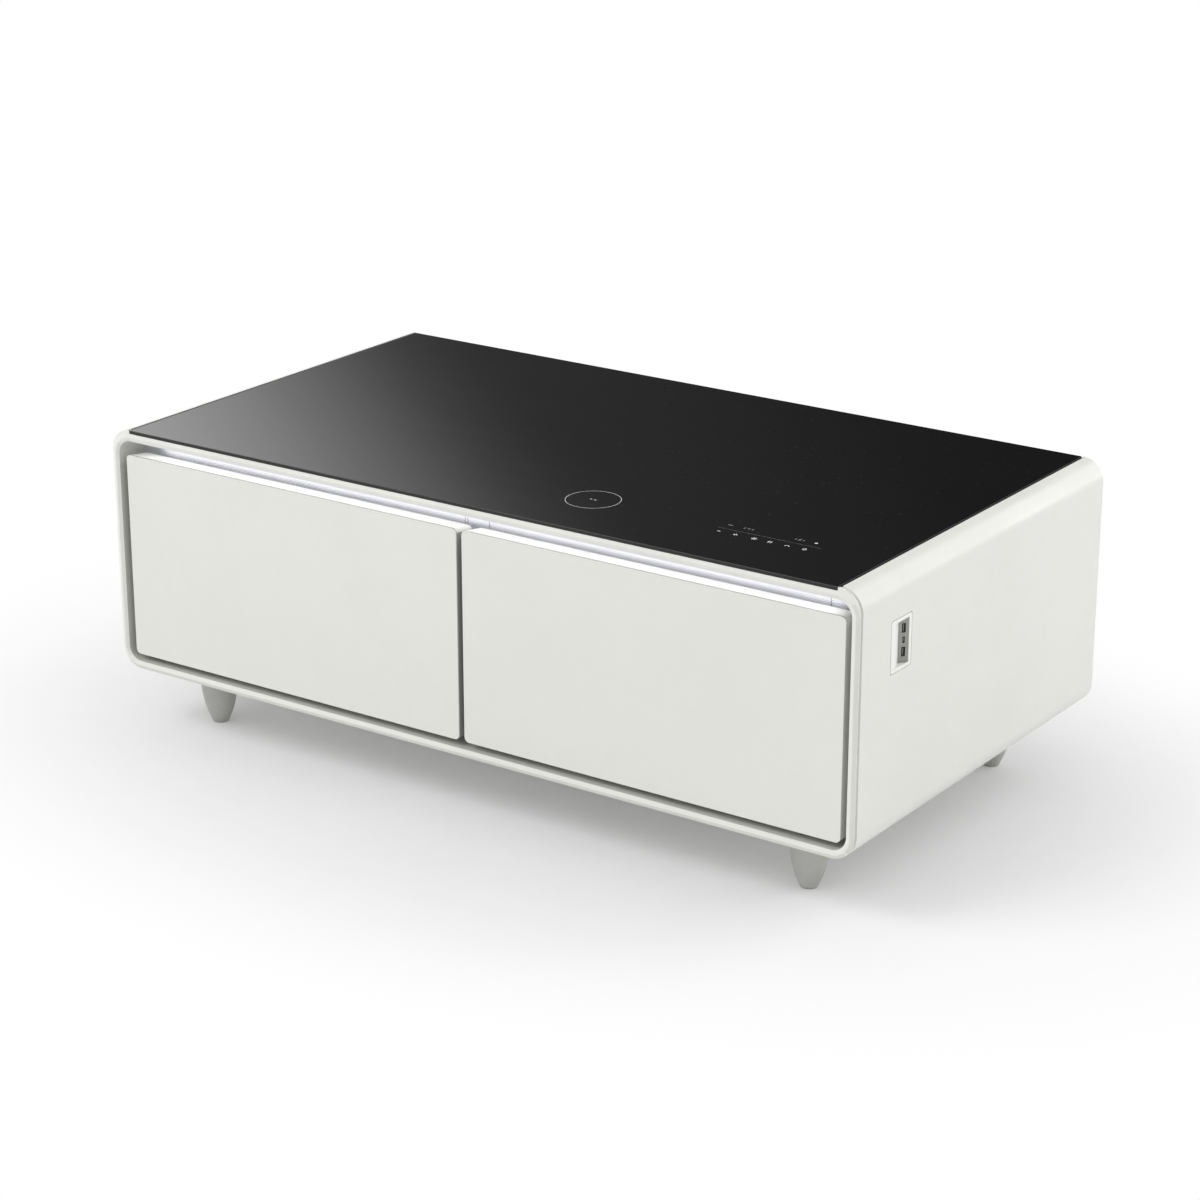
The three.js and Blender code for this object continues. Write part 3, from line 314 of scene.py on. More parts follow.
def wire_dust(bench: Bench, entry: Sequence[Socket]) -> Sequence[Socket]:
    """Settles a little dust on what faces up.

    Args:
        bench: The group's bench.
        entry: The place and the most dust that lies anywhere.

    Returns:
        How much dust lies.
    """
    up = bench.axes(bench.place("ShaderNodeNewGeometry").outputs["Normal"])[2]
    patches = bench.spread(bench.noise(entry[0], 38.0, 4.0), 0.42, 0.72, 0.0, 1.0)
    lying = bench.sum("MULTIPLY", bench.spread(up, 0.5, 1.0, 0.0, 1.0), patches)
    return [bench.sum("MULTIPLY", lying, entry[1])]


def wire_lines(bench: Bench, entry: Sequence[Socket]) -> Sequence[Socket]:
    """Draws long fine lines, as rolling or brushing leaves them.

    Args:
        bench: The group's bench.
        entry: The place, how dense the lines are along each axis and the roughness's two ends.

    Returns:
        The height and the roughness.
    """
    lines = bench.noise(bench.vector("MULTIPLY", entry[0], entry[1]), 1.0, 4.0)
    return [lines, bench.spread(lines, 0.25, 0.75, entry[2], entry[3])]


def wire_dots(bench: Bench, entry: Sequence[Socket]) -> Sequence[Socket]:
    """Sets round dots in staggered rows, in the plane of X and Z.

    Args:
        bench: The group's bench.
        entry: The place, the pitch and the dots' radius as a share of the pitch.

    Returns:
        1 in a dot and 0 between the dots.
    """
    root, soft = math.sqrt(3), 0.05
    flat = bench.vector("MULTIPLY", entry[0], (1.0, 0.0, 1.0))
    steps = bench.scaled(flat, bench.sum("DIVIDE", 1.0, entry[1]))
    grid = bench.vector("MULTIPLY", steps, (1.0, 1.0, 1 / root))
    near = []
    for shift in (0.0, 0.5):
        part = bench.vector("FRACTION", bench.vector("ADD", grid, (shift, 0.0, shift)))
        centred = bench.vector("SUBTRACT", part, (0.5, 0.0, 0.5))
        near.append(bench.length(bench.vector("MULTIPLY", centred, (1.0, 0.0, root))))
    edge = bench.sum("SUBTRACT", bench.sum("MINIMUM", *near), entry[2])
    return [bench.spread(edge, -soft, soft, 1.0, 0.0)]


EFFECTS = {
    Effect.DRIFT: EffectGroup(
        {"Vector": "Vector", "Light": "Color", "Dark": "Color", "Scale": "Float"},
        {"Colour": "Color"}, wire_drift),
    Effect.GRAIN: EffectGroup(
        {"Vector": "Vector", "Scale": "Float", "Low": "Float", "High": "Float"},
        {"Height": "Float", "Roughness": "Float"}, wire_grain),
    Effect.DUST: EffectGroup(
        {"Vector": "Vector", "Amount": "Float"}, {"Mask": "Float"}, wire_dust),
    Effect.LINES: EffectGroup(
        {"Vector": "Vector", "Stretch": "Vector", "Low": "Float", "High": "Float"},
        {"Height": "Float", "Roughness": "Float"}, wire_lines),
    Effect.DOTS: EffectGroup(
        {"Vector": "Vector", "Pitch": "Float", "Radius": "Float"}, {"Mask": "Float"}, wire_dots),
}


def effect(bench: Bench, kind: Effect, *values: object) -> Sequence[Socket]:
    """Places a shared effect in a material.

    Args:
        bench: The material's bench.
        kind: Which effect it is.
        values: What goes into its inputs, in their order.

    Returns:
        The effect's outputs.
    """
    node = bench.place("ShaderNodeGroup", node_tree=EFFECTS[kind].tree(kind.value))
    for socket, value in zip(node.inputs, values):
        bench.fill(socket, value)
    return node.outputs


Surface = tuple[Socket, Socket, Socket]
DUST_TONE = tone(206, 203, 196)


@dataclass(frozen=True)
class Finish:
    """A smooth finish: two close tones, a band of roughness, a grain and a little dust."""

    name: str
    slot: str | None
    light: Colour
    dark: Colour
    drift: float = 7.0
    rough: tuple[float, float] = (0.36, 0.46)
    grain: float = 700.0
    depth: float = 0.00004
    dust: float = 0.0
    metallic: float = 0.0
    coat: float = 0.0
    coat_rough: float = 0.15

    def material(self) -> bpy.types.Material:
        """Finds the finish's material, or makes it on its first use.

        Returns:
            The material.
        """
        found = bpy.data.materials.get(self.name)
        if found is None:
            found, bench = new_material(self.name)
            colour, rough, height = self.lay(bench, bench.object_place())
            relief = bench.place("ShaderNodeBump", {0: 0.5, 1: self.depth, "Height": height})
            bench.feed(Base_Color=colour, Roughness=rough, Normal=relief.outputs[0],
                       Metallic=self.metallic, Coat_Weight=self.coat,
                       Coat_Roughness=self.coat_rough)
        return found

    def lay(self, bench: Bench, place: Socket) -> Surface:
        """Lays out what changes over the surface.

        Args:
            bench: The material's bench.
            place: The place on the object.

        Returns:
            The colour, the roughness and the height of the relief.
        """
        colour = self.toned(bench, place)
        height, rough = effect(bench, Effect.GRAIN, place, self.grain, *self.rough)[:2]
        if self.dust:
            dust = effect(bench, Effect.DUST, place, self.dust)[0]
            colour = bench.mix(dust, colour, DUST_TONE)
        return colour, rough, height

    def toned(self, bench: Bench, place: Socket) -> Socket:
        """The colour that drifts between the finish's two tones."""
        return effect(bench, Effect.DRIFT, place, self.light, self.dark, self.drift)[0]


@dataclass(frozen=True)
class DrawnMetal(Finish):
    """Rolled or brushed metal, with its lines along one direction."""

    stretch: Point = (2200.0, 12.0, 2200.0)

    def lay(self, bench: Bench, place: Socket) -> Surface:
        """Lays out the lines.

        Args:
            bench: The material's bench.
            place: The place on the object.

        Returns:
            The colour, the roughness and the height of the relief.
        """
        height, rough = effect(bench, Effect.LINES, place, self.stretch, *self.rough)[:2]
        return self.toned(bench, place), rough, height


@dataclass(frozen=True)
class FoamedCore(Finish):
    """Rigid foam, with open cells where it was cut."""

    def lay(self, bench: Bench, place: Socket) -> Surface:
        """Lays out the cells.

        Args:
            bench: The material's bench.
            place: The place on the object.

        Returns:
            The colour, the roughness and the height of the relief.
        """
        cells = bench.cells(place, self.grain).outputs[0]
        shade = bench.spread(cells, 0.1, 0.6, 0.0, 0.5)
        colour = bench.mix(shade, self.toned(bench, place), self.dark)
        return colour, bench.spread(cells, 0.0, 0.7, *self.rough), cells


@dataclass(frozen=True)
class TemperedGlass(Finish):
    """Black-backed glass, with faint specks in it and faint wiping marks on it."""

    speck: Colour = (0.1, 0.1, 0.1)
    speck_edge: tuple[float, float] = (0.18, 0.32)
    rarest: float = 0.95
    wipe: Point = (3.0, 14.0, 1.0)
    wave: float = 5.0

    def lay(self, bench: Bench, place: Socket) -> Surface:
        """Lays out the specks, the wiping marks and a slow wave.

        Args:
            bench: The material's bench.
            place: The place on the object.

        Returns:
            The colour, the roughness and the height of the relief.
        """
        cells = bench.cells(place, self.grain)
        chosen = bench.spread(bench.axes(cells.outputs["Color"])[0], self.rarest, 1.0, 0.0, 1.0)
        near = bench.spread(cells.outputs[0], *self.speck_edge, 1.0, 0.0)
        speck = bench.sum("MULTIPLY", near, chosen)
        wiped = bench.noise(bench.vector("MULTIPLY", place, self.wipe), 1.6, 5.0)
        return (bench.mix(speck, self.toned(bench, place), self.speck),
                bench.spread(wiped, 0.3, 0.75, *self.rough), bench.noise(place, self.wave, 1.0))


@dataclass(frozen=True)
class DottedSheet(Finish):
    """A sheet with fine round holes in staggered rows, with a painted glow for the lamps' light."""

    pitch: float = 0.0024
    hole: float = 0.3
    seams: tuple[float, ...] = (-0.0273, -0.0226, 0.0155, 0.574)
    seam: float = 0.0016
    seam_share: float = 0.8
    # The painted glow: its strength, the heights over which it rises to full and the ends where it
    # fades out.
    glow: float = 1.5
    lit: tuple[float, float] = (0.4215, 0.441)
    ends: tuple[float, float] = (0.580, 0.610)

    def lay(self, bench: Bench, place: Socket) -> Surface:
        """Lays out the holes, the faint seams and a painted glow for the light that spills down it.

        Args:
            bench: The material's bench.
            place: The place on the object.

        Returns:
            The colour, the roughness and the height of the relief.
        """
        holes = effect(bench, Effect.DOTS, place, self.pitch, self.hole)[0]
        along, _, up = bench.axes(place)
        colour = self.light
        for seam in self.seams:
            away = bench.sum("ABSOLUTE", bench.sum("SUBTRACT", along, seam))
            share = bench.spread(away, 0.0, self.seam, self.seam_share, 0.0)
            colour = bench.mix(share, colour, self.dark)
        sheet = bench.mix(holes, colour, self.dark)
        # Painted light: the sheet glows near its top as though lit by the lamp strip above, and
        # fades out towards its ends.
        ended = bench.spread(bench.sum("ABSOLUTE", along), *self.ends, 1.0, 0.0)
        painted_lamp_glow = bench.sum("MULTIPLY", bench.spread(up, *self.lit, 0.0, 1.0), ended)
        bench.feed(Emission_Color=bench.mix(painted_lamp_glow, BLACK, sheet), Emission_Strength=self.glow)
        rough = bench.spread(holes, 0.0, 1.0, *self.rough)
        return sheet, rough, bench.sum("SUBTRACT", 1.0, holes)


@dataclass(frozen=True)
class LampLens(Finish):
    """A frosted lens over a row of small lamps."""

    strength: float = 7.6
    pitch: float = 0.0075
    ends: tuple[float, float] = (0.572, 0.590)
    middle: float = 0.355

    def lay(self, bench: Bench, place: Socket) -> Surface:
        """Lays out the lamps' row, which is brighter at its two ends.

        Args:
            bench: The material's bench.
            place: The place on the object.

        Returns:
            The colour, the roughness and the height of the relief.
        """
        along = bench.axes(place)[0]
        wave = bench.sum("SINE", bench.sum("MULTIPLY", along, 2 * math.pi / self.pitch))
        row = bench.mix(bench.spread(wave, -1.0, 1.0, 0.0, 1.0), self.dark, self.light)
        share = bench.spread(bench.sum("ABSOLUTE", along), *self.ends, self.middle, 1.0)
        bench.feed(Emission_Color=bench.scaled(row, share), Emission_Strength=self.strength)
        height, rough = effect(bench, Effect.GRAIN, place, self.grain, *self.rough)[:2]
        return row, rough, height


@dataclass(frozen=True)
class CircuitBoard(Finish):
    """A printed board, with tracks under its lacquer."""

    track: Colour = (0.05, 0.16, 0.08)
    gap: float = 0.12
    run: float = 0.9

    def lay(self, bench: Bench, place: Socket) -> Surface:
        """Lays out the tracks.

        Args:
            bench: The material's bench.
            place: The place on the object.

        Returns:
            The colour, the roughness and the height of the relief.
        """
        sockets = {"Vector": place, "Scale": self.grain, "Mortar Size": self.gap,
                   "Brick Width": self.run}
        tracks = bench.place("ShaderNodeTexBrick", sockets).outputs["Fac"]
        colour = bench.mix(tracks, self.toned(bench, place), self.track)
        return colour, bench.spread(tracks, 0.0, 1.0, *self.rough), tracks


ENAMEL = Finish("White enamel", "casing_white", tone(232, 232, 227), tone(229, 229, 224),
                rough=(0.34, 0.44), grain=420.0, depth=0.00003, coat=0.15, dust=0.1)
FRONT_ENAMEL = Finish("Front enamel", "casing_white", tone(231, 231, 226), tone(229, 229, 224),
                      rough=(0.36, 0.45), grain=420.0, depth=0.00003, coat=0.12)
# Painted shade: the drawer plate's top edge wears a dark grey, a painted shadow line along the seam
# behind the plate.
PAINTED_SEAM_SHADOW = Finish("Painted seam shadow", "casing_white", tone(120, 120, 116), tone(112, 112, 109),
                    rough=(0.4, 0.5), grain=900.0)
# Painted shade: darker copies of the front enamel for the pan's sides in the gaps, darkest in the
# narrow centre gap.
PAINTED_GAP_SHADE = Finish("Painted gap shade", "casing_white", tone(224, 224, 219), tone(218, 218, 213),
                  rough=(0.45, 0.55), grain=900.0)
PAINTED_CENTRE_GAP_SHADE = replace(PAINTED_GAP_SHADE, name="Painted centre gap shade", light=tone(170, 170, 166),
                    dark=tone(164, 164, 160))
JOINT = Finish("Glazing joint", "casing_white", tone(92, 93, 94), tone(84, 85, 86),
               rough=(0.55, 0.7), grain=1800.0)
RING_PLASTIC = Finish("Ring plastic", "bezel_white", tone(235, 235, 229), tone(231, 231, 226),
                      rough=(0.3, 0.4), grain=1300.0, depth=0.00003)
RING_JOINT = replace(JOINT, name="Ring joint", slot="bezel_white")
# Painted shade: a darker copy of the ring plastic for the flanks that face right or down.
PAINTED_FLANK_SHADE = replace(RING_PLASTIC, name="Painted flank shade", light=tone(224, 224, 218),
                     dark=tone(220, 220, 215))
# Painted shade: a darker copy of the ring plastic for the throat behind the ridge.
PAINTED_RECESS_SHADE = Finish("Painted throat shade", "bezel_white", tone(206, 206, 201), tone(200, 200, 195),
                rough=(0.4, 0.5), grain=1300.0, depth=0.00003)
SOCKET_WHITE = Finish("Outlet plastic", "bezel_white", tone(244, 244, 240), tone(240, 240, 235),
                      rough=(0.3, 0.4), grain=1600.0, depth=0.00004)
LEG_PLASTIC = Finish("Leg plastic", "leg_grey", tone(188, 189, 183), tone(180, 181, 176),
                     rough=(0.4, 0.52), grain=1500.0, depth=0.00006, dust=0.1)
FOOT_RUBBER = Finish("Foot rubber", "leg_grey", tone(92, 92, 90), tone(78, 78, 76),
                     rough=(0.7, 0.85), grain=1200.0, depth=0.0001)
GLASS = TemperedGlass("Black glass", "black_glass", tone(12, 12, 13), tone(9, 9, 10),
                      rough=(0.035, 0.06), grain=190.0, depth=0.000005, speck=tone(72, 74, 76))
GROUND_EDGE = Finish("Ground glass edge", "black_glass", tone(82, 83, 84), tone(76, 77, 78),
                     rough=(0.4, 0.55), grain=2200.0, depth=0.00004)
PRINT = Finish("White print", None, tone(232, 234, 236), tone(222, 225, 228),
               rough=(0.4, 0.5), grain=2500.0, depth=0.00001)
FAINT_PRINT = replace(PRINT, name="Grey print", light=tone(158, 160, 163),
                      dark=tone(148, 151, 154))
GRILLE = DottedSheet("Perforated grille, painted glow", "grille_white", tone(224, 224, 231), tone(122, 122, 128),
                     rough=(0.5, 0.8), depth=0.0004)
LAMP = LampLens("Frosted lens", "lamp_white", tone(255, 255, 255), tone(234, 236, 242),
                rough=(0.4, 0.5), grain=900.0)
LINER = Finish("Liner plastic", "liner_white", tone(238, 240, 241), tone(232, 234, 236),
               rough=(0.28, 0.38), grain=900.0, depth=0.00003)
BOX_PLASTIC = Finish("Box plastic", "liner_white", tone(226, 231, 235), tone(218, 224, 229),
                     rough=(0.2, 0.3), grain=1100.0, depth=0.00003, coat=0.2)
SEAL = Finish("Seal rubber", "seal_rubber", tone(170, 171, 170), tone(156, 157, 157),
              rough=(0.6, 0.75), grain=1400.0, depth=0.00006)
FOAM = FoamedCore("Rigid foam", "foam", tone(232, 220, 184), tone(206, 190, 150),
                  rough=(0.8, 0.95), grain=650.0, depth=0.0004)
ZINC = DrawnMetal("Zinc-plated steel", "steel", tone(196, 200, 204), tone(176, 181, 187),
                  rough=(0.26, 0.42), depth=0.00003, metallic=1.0)
ALUMINIUM = DrawnMetal("Rolled aluminium", "aluminium", tone(214, 217, 220), tone(200, 203, 207),
                       rough=(0.28, 0.45), depth=0.00003, metallic=1.0,
                       stretch=(14.0, 1500.0, 1500.0))
COPPER = DrawnMetal("Drawn copper", "copper", tone(198, 128, 92), tone(168, 98, 66),
                    rough=(0.25, 0.45), depth=0.00003, metallic=1.0, stretch=(20.0, 900.0, 900.0))
BLACK_PLASTIC = Finish("Black plastic", "black_plastic", tone(36, 37, 39), tone(28, 29, 31),
                       rough=(0.45, 0.6), grain=1500.0, depth=0.00008, dust=0.15)
BLACK_PAINT = Finish("Black paint", "black_paint", tone(34, 35, 38), tone(22, 23, 25),
                     rough=(0.3, 0.5), grain=350.0, depth=0.00008, dust=0.25, coat=0.2)
BOARD = CircuitBoard("Printed board", "board_green", tone(38, 98, 64), tone(28, 82, 52),
                     rough=(0.35, 0.55), grain=260.0, depth=0.00008, track=tone(64, 132, 84))
PORT_GREY = Finish("Port plate", "socket_grey", tone(160, 160, 154), tone(152, 152, 147),
                   rough=(0.4, 0.5), grain=1500.0, depth=0.00005)
# Painted shade: the inside of the port slots is painted near black.
PAINTED_SLOT_SHADE = Finish("Painted slot shade", "socket_grey", tone(26, 26, 27), tone(16, 16, 17),
                   rough=(0.45, 0.6), grain=1500.0, depth=0.00005)
PORT_TONGUE = replace(PORT_GREY, name="Port tongue", light=tone(120, 120, 116),
                      dark=tone(106, 106, 102))


class Plane(Enum):
    """The plane that an outline is drawn in, with the side that it faces."""

    FRONT = Matrix(((1, 0, 0, 0), (0, 0, -1, 0), (0, 1, 0, 0), (0, 0, 0, 1)))
    TOP = Matrix.Identity(4)


@dataclass(frozen=True)
class Outline:
    """A rectangle with rounded corners, drawn in a plane."""

    left: float
    right: float
    low: float
    high: float
    radius: float
    steps: int = 12

    def inset(self, by: float) -> "Outline":
        """Sets the outline in by a distance, and its corners by as much.

        Args:
            by: The distance.

        Returns:
            The smaller outline.
        """
        return Outline(self.left + by, self.right - by, self.low + by, self.high - by,
                       max(self.radius - by, HAIR), self.steps)


class Side(Enum):
    """Which of two like things it is, with its direction along X."""

    LEFT = -1
    RIGHT = 1

    @property
    def word(self) -> str:
        """The side's word in names."""
        return self.name.lower()


def added(name: str, data: bpy.types.ID) -> bpy.types.Object:
    """Adds an object to the scene.

    Args:
        name: The object's name.
        data: Its mesh, lamp or camera.

    Returns:
        The object.
    """
    made = bpy.data.objects.new(name, data)
    bpy.context.scene.collection.objects.link(made)
    return made


# The angles from which an edge is rounded and is shaded sharp, and under which faces are one.
SHARP = math.radians(35)
CREASE = math.radians(32)
FLAT = math.radians(0.5)


class Form:
    """A mesh under construction, with the steps that the pieces share."""

    def __init__(self) -> None:
        """Starts with nothing."""
        self.bm = bmesh.new()

    def slab(self, low: Point, high: Point) -> None:
        """Adds a box.

        Args:
            low: Its lowest corner.
            high: Its highest corner.
        """
        verts = bmesh.ops.create_cube(self.bm, size=1.0)["verts"]
        size = Vector(high) - Vector(low)
        bmesh.ops.scale(self.bm, vec=size, verts=verts)
        bmesh.ops.translate(self.bm, vec=(Vector(high) + Vector(low)) / 2, verts=verts)

    def shift(self, made: Sequence[object], by: Point) -> list[BMVert]:
        """Moves the points among the things that an operator made.

        Args:
            made: The things.
            by: How far and which way the points move.

        Returns:
            The points.
        """
        verts = [item for item in made if isinstance(item, BMVert)]
        bmesh.ops.translate(self.bm, vec=by, verts=verts)
        return verts

    def bevel(self, edges: Sequence[BMEdge], by: float, segments: int,
              clamp: bool = False) -> list[BMFace]:
        """Rounds the edges that it is given.

        Args:
            edges: The edges.
            by: The width of the rounding on each side of an edge.
            segments: How many steps the rounding has.
            clamp: Whether roundings stop where they meet.

        Returns:
            The faces of the rounding.
        """
        made = bmesh.ops.bevel(self.bm, geom=edges, offset=by, segments=segments, profile=0.5,
                               affect="EDGES", material=-1, clamp_overlap=clamp)
        return made["faces"]

    def panel(self, outline: Outline, at: float, plane: Plane = Plane.FRONT) -> BMFace:
        """Adds one flat face with rounded corners.

        Args:
            outline: Its outline.
            at: Where its plane lies along the plane's own axis.
            plane: Which plane it is drawn in.

        Returns:
            The face. It faces the front, or up.
        """
        verts = bmesh.ops.create_grid(self.bm, x_segments=1, y_segments=1, size=0.5)["verts"]
        size = (outline.right - outline.left, outline.high - outline.low, 1.0)
        bmesh.ops.scale(self.bm, vec=size, verts=verts)
        if outline.radius > HAIR:
            verts = bmesh.ops.bevel(self.bm, geom=verts, offset=outline.radius,
                                    segments=outline.steps, profile=0.5, affect="VERTICES",
                                    material=-1)["verts"]
        middle = ((outline.left + outline.right) / 2, (outline.low + outline.high) / 2, 0.0)
        bmesh.ops.translate(self.bm, vec=middle, verts=verts)
        bmesh.ops.transform(self.bm, matrix=plane.value, verts=verts)
        away = (0.0, at, 0.0) if plane is Plane.FRONT else (0.0, 0.0, at)
        bmesh.ops.translate(self.bm, vec=away, verts=verts)
        return next(face for face in verts[0].link_faces if len(face.verts) == len(verts))

    def ring(self, outline: Outline, at: float, drop: float | None = None) -> list[BMEdge]:
        """Adds a closed loop of edges, facing the front.

        Args:
            outline: The loop's outline.
            at: Where it lies from front to back.
            drop: How far its straight top edge is stepped down, if it is.

        Returns:
            The loop's edges.
        """
        face = self.panel(outline, at)
        edges = list(face.edges)
        bmesh.ops.delete(self.bm, geom=[face], context="FACES_ONLY")
        if drop is None:
            return edges
        top = max(edges, key=lambda e: e.calc_length() * (e.verts[0].co.z + e.verts[1].co.z))
        made = bmesh.ops.extrude_edge_only(self.bm, edges=[top])["geom"]
        kept = {e for v in self.shift(made, (0.0, 0.0, -drop)) for e in v.link_edges}
        edges.remove(top)
        bmesh.ops.delete(self.bm, geom=[top], context="EDGES")
        return edges + list(kept)

    def skin(self, rings: Sequence[list[BMEdge]], closed: bool = False) -> None:
        """Bridges each loop of edges to the next.

        Args:
            rings: The loops, in order.
            closed: Whether the last loop is bridged to the first.
        """
        pairs = list(zip(rings, rings[1:]))
        if closed:
            pairs.append((rings[-1], rings[0]))
        for first, second in pairs:
            bmesh.ops.bridge_loops(self.bm, edges=first + second)

    def draw(self, face: BMFace, by: Point) -> BMFace:
        """Draws a face out to a solid.

        Args:
            face: The face, which stays as the solid's near end.
            by: How far and which way its copy moves.

        Returns:
            The solid's far end.
        """
        made = bmesh.ops.extrude_face_region(self.bm, geom=[face], use_keep_orig=True)["geom"]
        self.shift(made, by)
        return next(item for item in made if isinstance(item, BMFace))

    def sink(self, faces: Sequence[BMFace], by: Point, rim: float = 0.0) -> None:
        """Sinks or raises faces, with walls round them.

        Args:
            faces: The faces to move.
            by: How far and which way they move.
            rim: The width of the border that is left round each face.
        """
        if rim:
            bmesh.ops.inset_region(self.bm, faces=faces, thickness=rim, use_even_offset=True)
        made = bmesh.ops.extrude_discrete_faces(self.bm, faces=faces)["faces"]
        verts = list({v for face in made for v in face.verts})
        bmesh.ops.translate(self.bm, vec=by, verts=verts)

    def window(self, picks: Callable[[BMFace], bool], low: Point, high: Point) -> list[BMFace]:
        """Splits the chosen faces along the sides of a box.

        Args:
            picks: Whether a face is one of those to split.
            low: The box's lowest corner.
            high: The box's highest corner.

        Returns:
            The chosen faces that lie within the box.
        """
        for axis in range(3):
            for place in (low[axis], high[axis]):
                faces = [face for face in self.bm.faces if picks(face)]
                edges = {edge for face in faces for edge in face.edges}
                verts = {vert for face in faces for vert in face.verts}
                side = Vector([float(axis == way) for way in range(3)])
                bmesh.ops.bisect_plane(self.bm, geom=[*faces, *edges, *verts],
                                       plane_co=side * place, plane_no=side, dist=HAIR)
        return [face for face in self.bm.faces if picks(face) and
                all(a < b < c for a, b, c in zip(low, face.calc_center_median(), high))]

    def soften(self, by: float, picks: Callable[[BMEdge], bool] | None = None,
               segments: int = 2) -> None:
        """Rounds edges.

        Args:
            by: The width of the rounding on each side of an edge.
            picks: Which edges are rounded. Without it, all sharp ones are.
            segments: How many steps the rounding has.
        """
        edges = [e for e in self.bm.edges if e.is_manifold and e.calc_face_angle(0.0) > SHARP]
        self.bevel([e for e in edges if picks is None or picks(e)], by, segments, clamp=True)

    def bar(self, x: float, y: float, length: float, width: float, turn: float = 0.0) -> None:
        """Adds a flat bar on the plane of Z zero.

        Args:
            x: Its middle along X.
            y: Its middle along Y.
            length: Its length.
            width: Its width.
            turn: Its turn from X, in degrees.
        """
        outline = Outline(-length / 2, length / 2, -width / 2, width / 2, width * 0.45, 2)
        verts = self.panel(outline, 0.0, Plane.TOP).verts[:]
        bmesh.ops.rotate(self.bm, matrix=Matrix.Rotation(math.radians(turn), 3, "Z"), verts=verts)
        bmesh.ops.translate(self.bm, vec=(x, y, 0.0), verts=verts)

    def hoop(self, x: float, y: float, radius: float, width: float, segments: int) -> None:
        """Adds a flat ring on the plane of Z zero.

        Args:
            x: Its middle along X.
            y: Its middle along Y.
            radius: Its outer radius.
            width: The width of its band.
            segments: How many sides it has.
        """
        made = bmesh.ops.create_circle(self.bm, cap_ends=True, segments=segments, radius=radius)
        face = self.shift(made["verts"], (x, y, 0.0))[0].link_faces[0]
        if face.normal.z < 0:
            bmesh.ops.reverse_faces(self.bm, faces=[face])
        if width < radius:
            bmesh.ops.inset_region(self.bm, faces=[face], thickness=width, use_boundary=True,
                                   use_even_offset=True)
            bmesh.ops.delete(self.bm, geom=[face], context="FACES")

    def close(self) -> None:
        """Merges doubled points and turns every face outwards."""
        bmesh.ops.remove_doubles(self.bm, verts=self.bm.verts, dist=HAIR)
        bmesh.ops.recalc_face_normals(self.bm, faces=self.bm.faces)

    def piece(self, name: str, body: str, finishes: Sequence[Finish],
              stands_for: Sequence[str] = ()) -> None:
        """Makes the form an object that moves with a body.

        Args:
            name: The piece's name.
            body: The body that it rides on.
            finishes: Its finishes. Faces wear the first one unless they say otherwise.
            stands_for: The frame's nodes that it takes the place of.
        """
        mesh = bpy.data.meshes.new(name)
        self.bm.to_mesh(mesh)
        self.bm.free()
        mesh.polygons.foreach_set("use_smooth", [True] * len(mesh.polygons))
        mesh.set_sharp_from_angle(angle=CREASE)
        for finish in finishes:
            mesh.materials.append(finish.material())
        made = added(name, mesh)
        made.modifiers.new("Even shading", "WEIGHTED_NORMAL").keep_sharp = True
        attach(made, body)
        if stands_for:
            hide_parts(*stands_for)
        log.info("%s: %d faces on %s", name, len(mesh.polygons), body)


def carried(node: str) -> Form:
    """Starts a form from a node of the frame.

    Args:
        node: The node's name.

    Returns:
        The form, with its points merged and its flat faces whole.
    """
    form = Form()
    form.bm.from_mesh(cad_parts[node].data)
    bmesh.ops.remove_doubles(form.bm, verts=form.bm.verts, dist=HAIR)
    bmesh.ops.dissolve_limit(form.bm, angle_limit=FLAT, verts=form.bm.verts,
                             edges=form.bm.edges, use_dissolve_boundaries=False)
    return form


def rounded(node: str, name: str, edge: float, finish: Finish, body: str = "cabinet") -> None:
    """Makes a piece from a node of the frame, with its edges rounded.

    Args:
        node: The node's name, which the piece takes the place of.
        name: The piece's name.
        edge: The width of the rounding.
        finish: Its finish.
        body: The body that it rides on.
    """
    form = carried(node)
    form.soften(edge)
    form.piece(name, body, [finish], [node])


def dress(finish: Finish, *nodes: str) -> None:
    """Gives nodes of the frame a finish, and leaves their shape.

    Args:
        finish: The finish.
        nodes: The nodes' names.
    """
    for node in nodes:
        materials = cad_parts[node].data.materials
        materials.clear()
        materials.append(finish.material())
        log.info("%s: dressed in %s", node, finish.name)


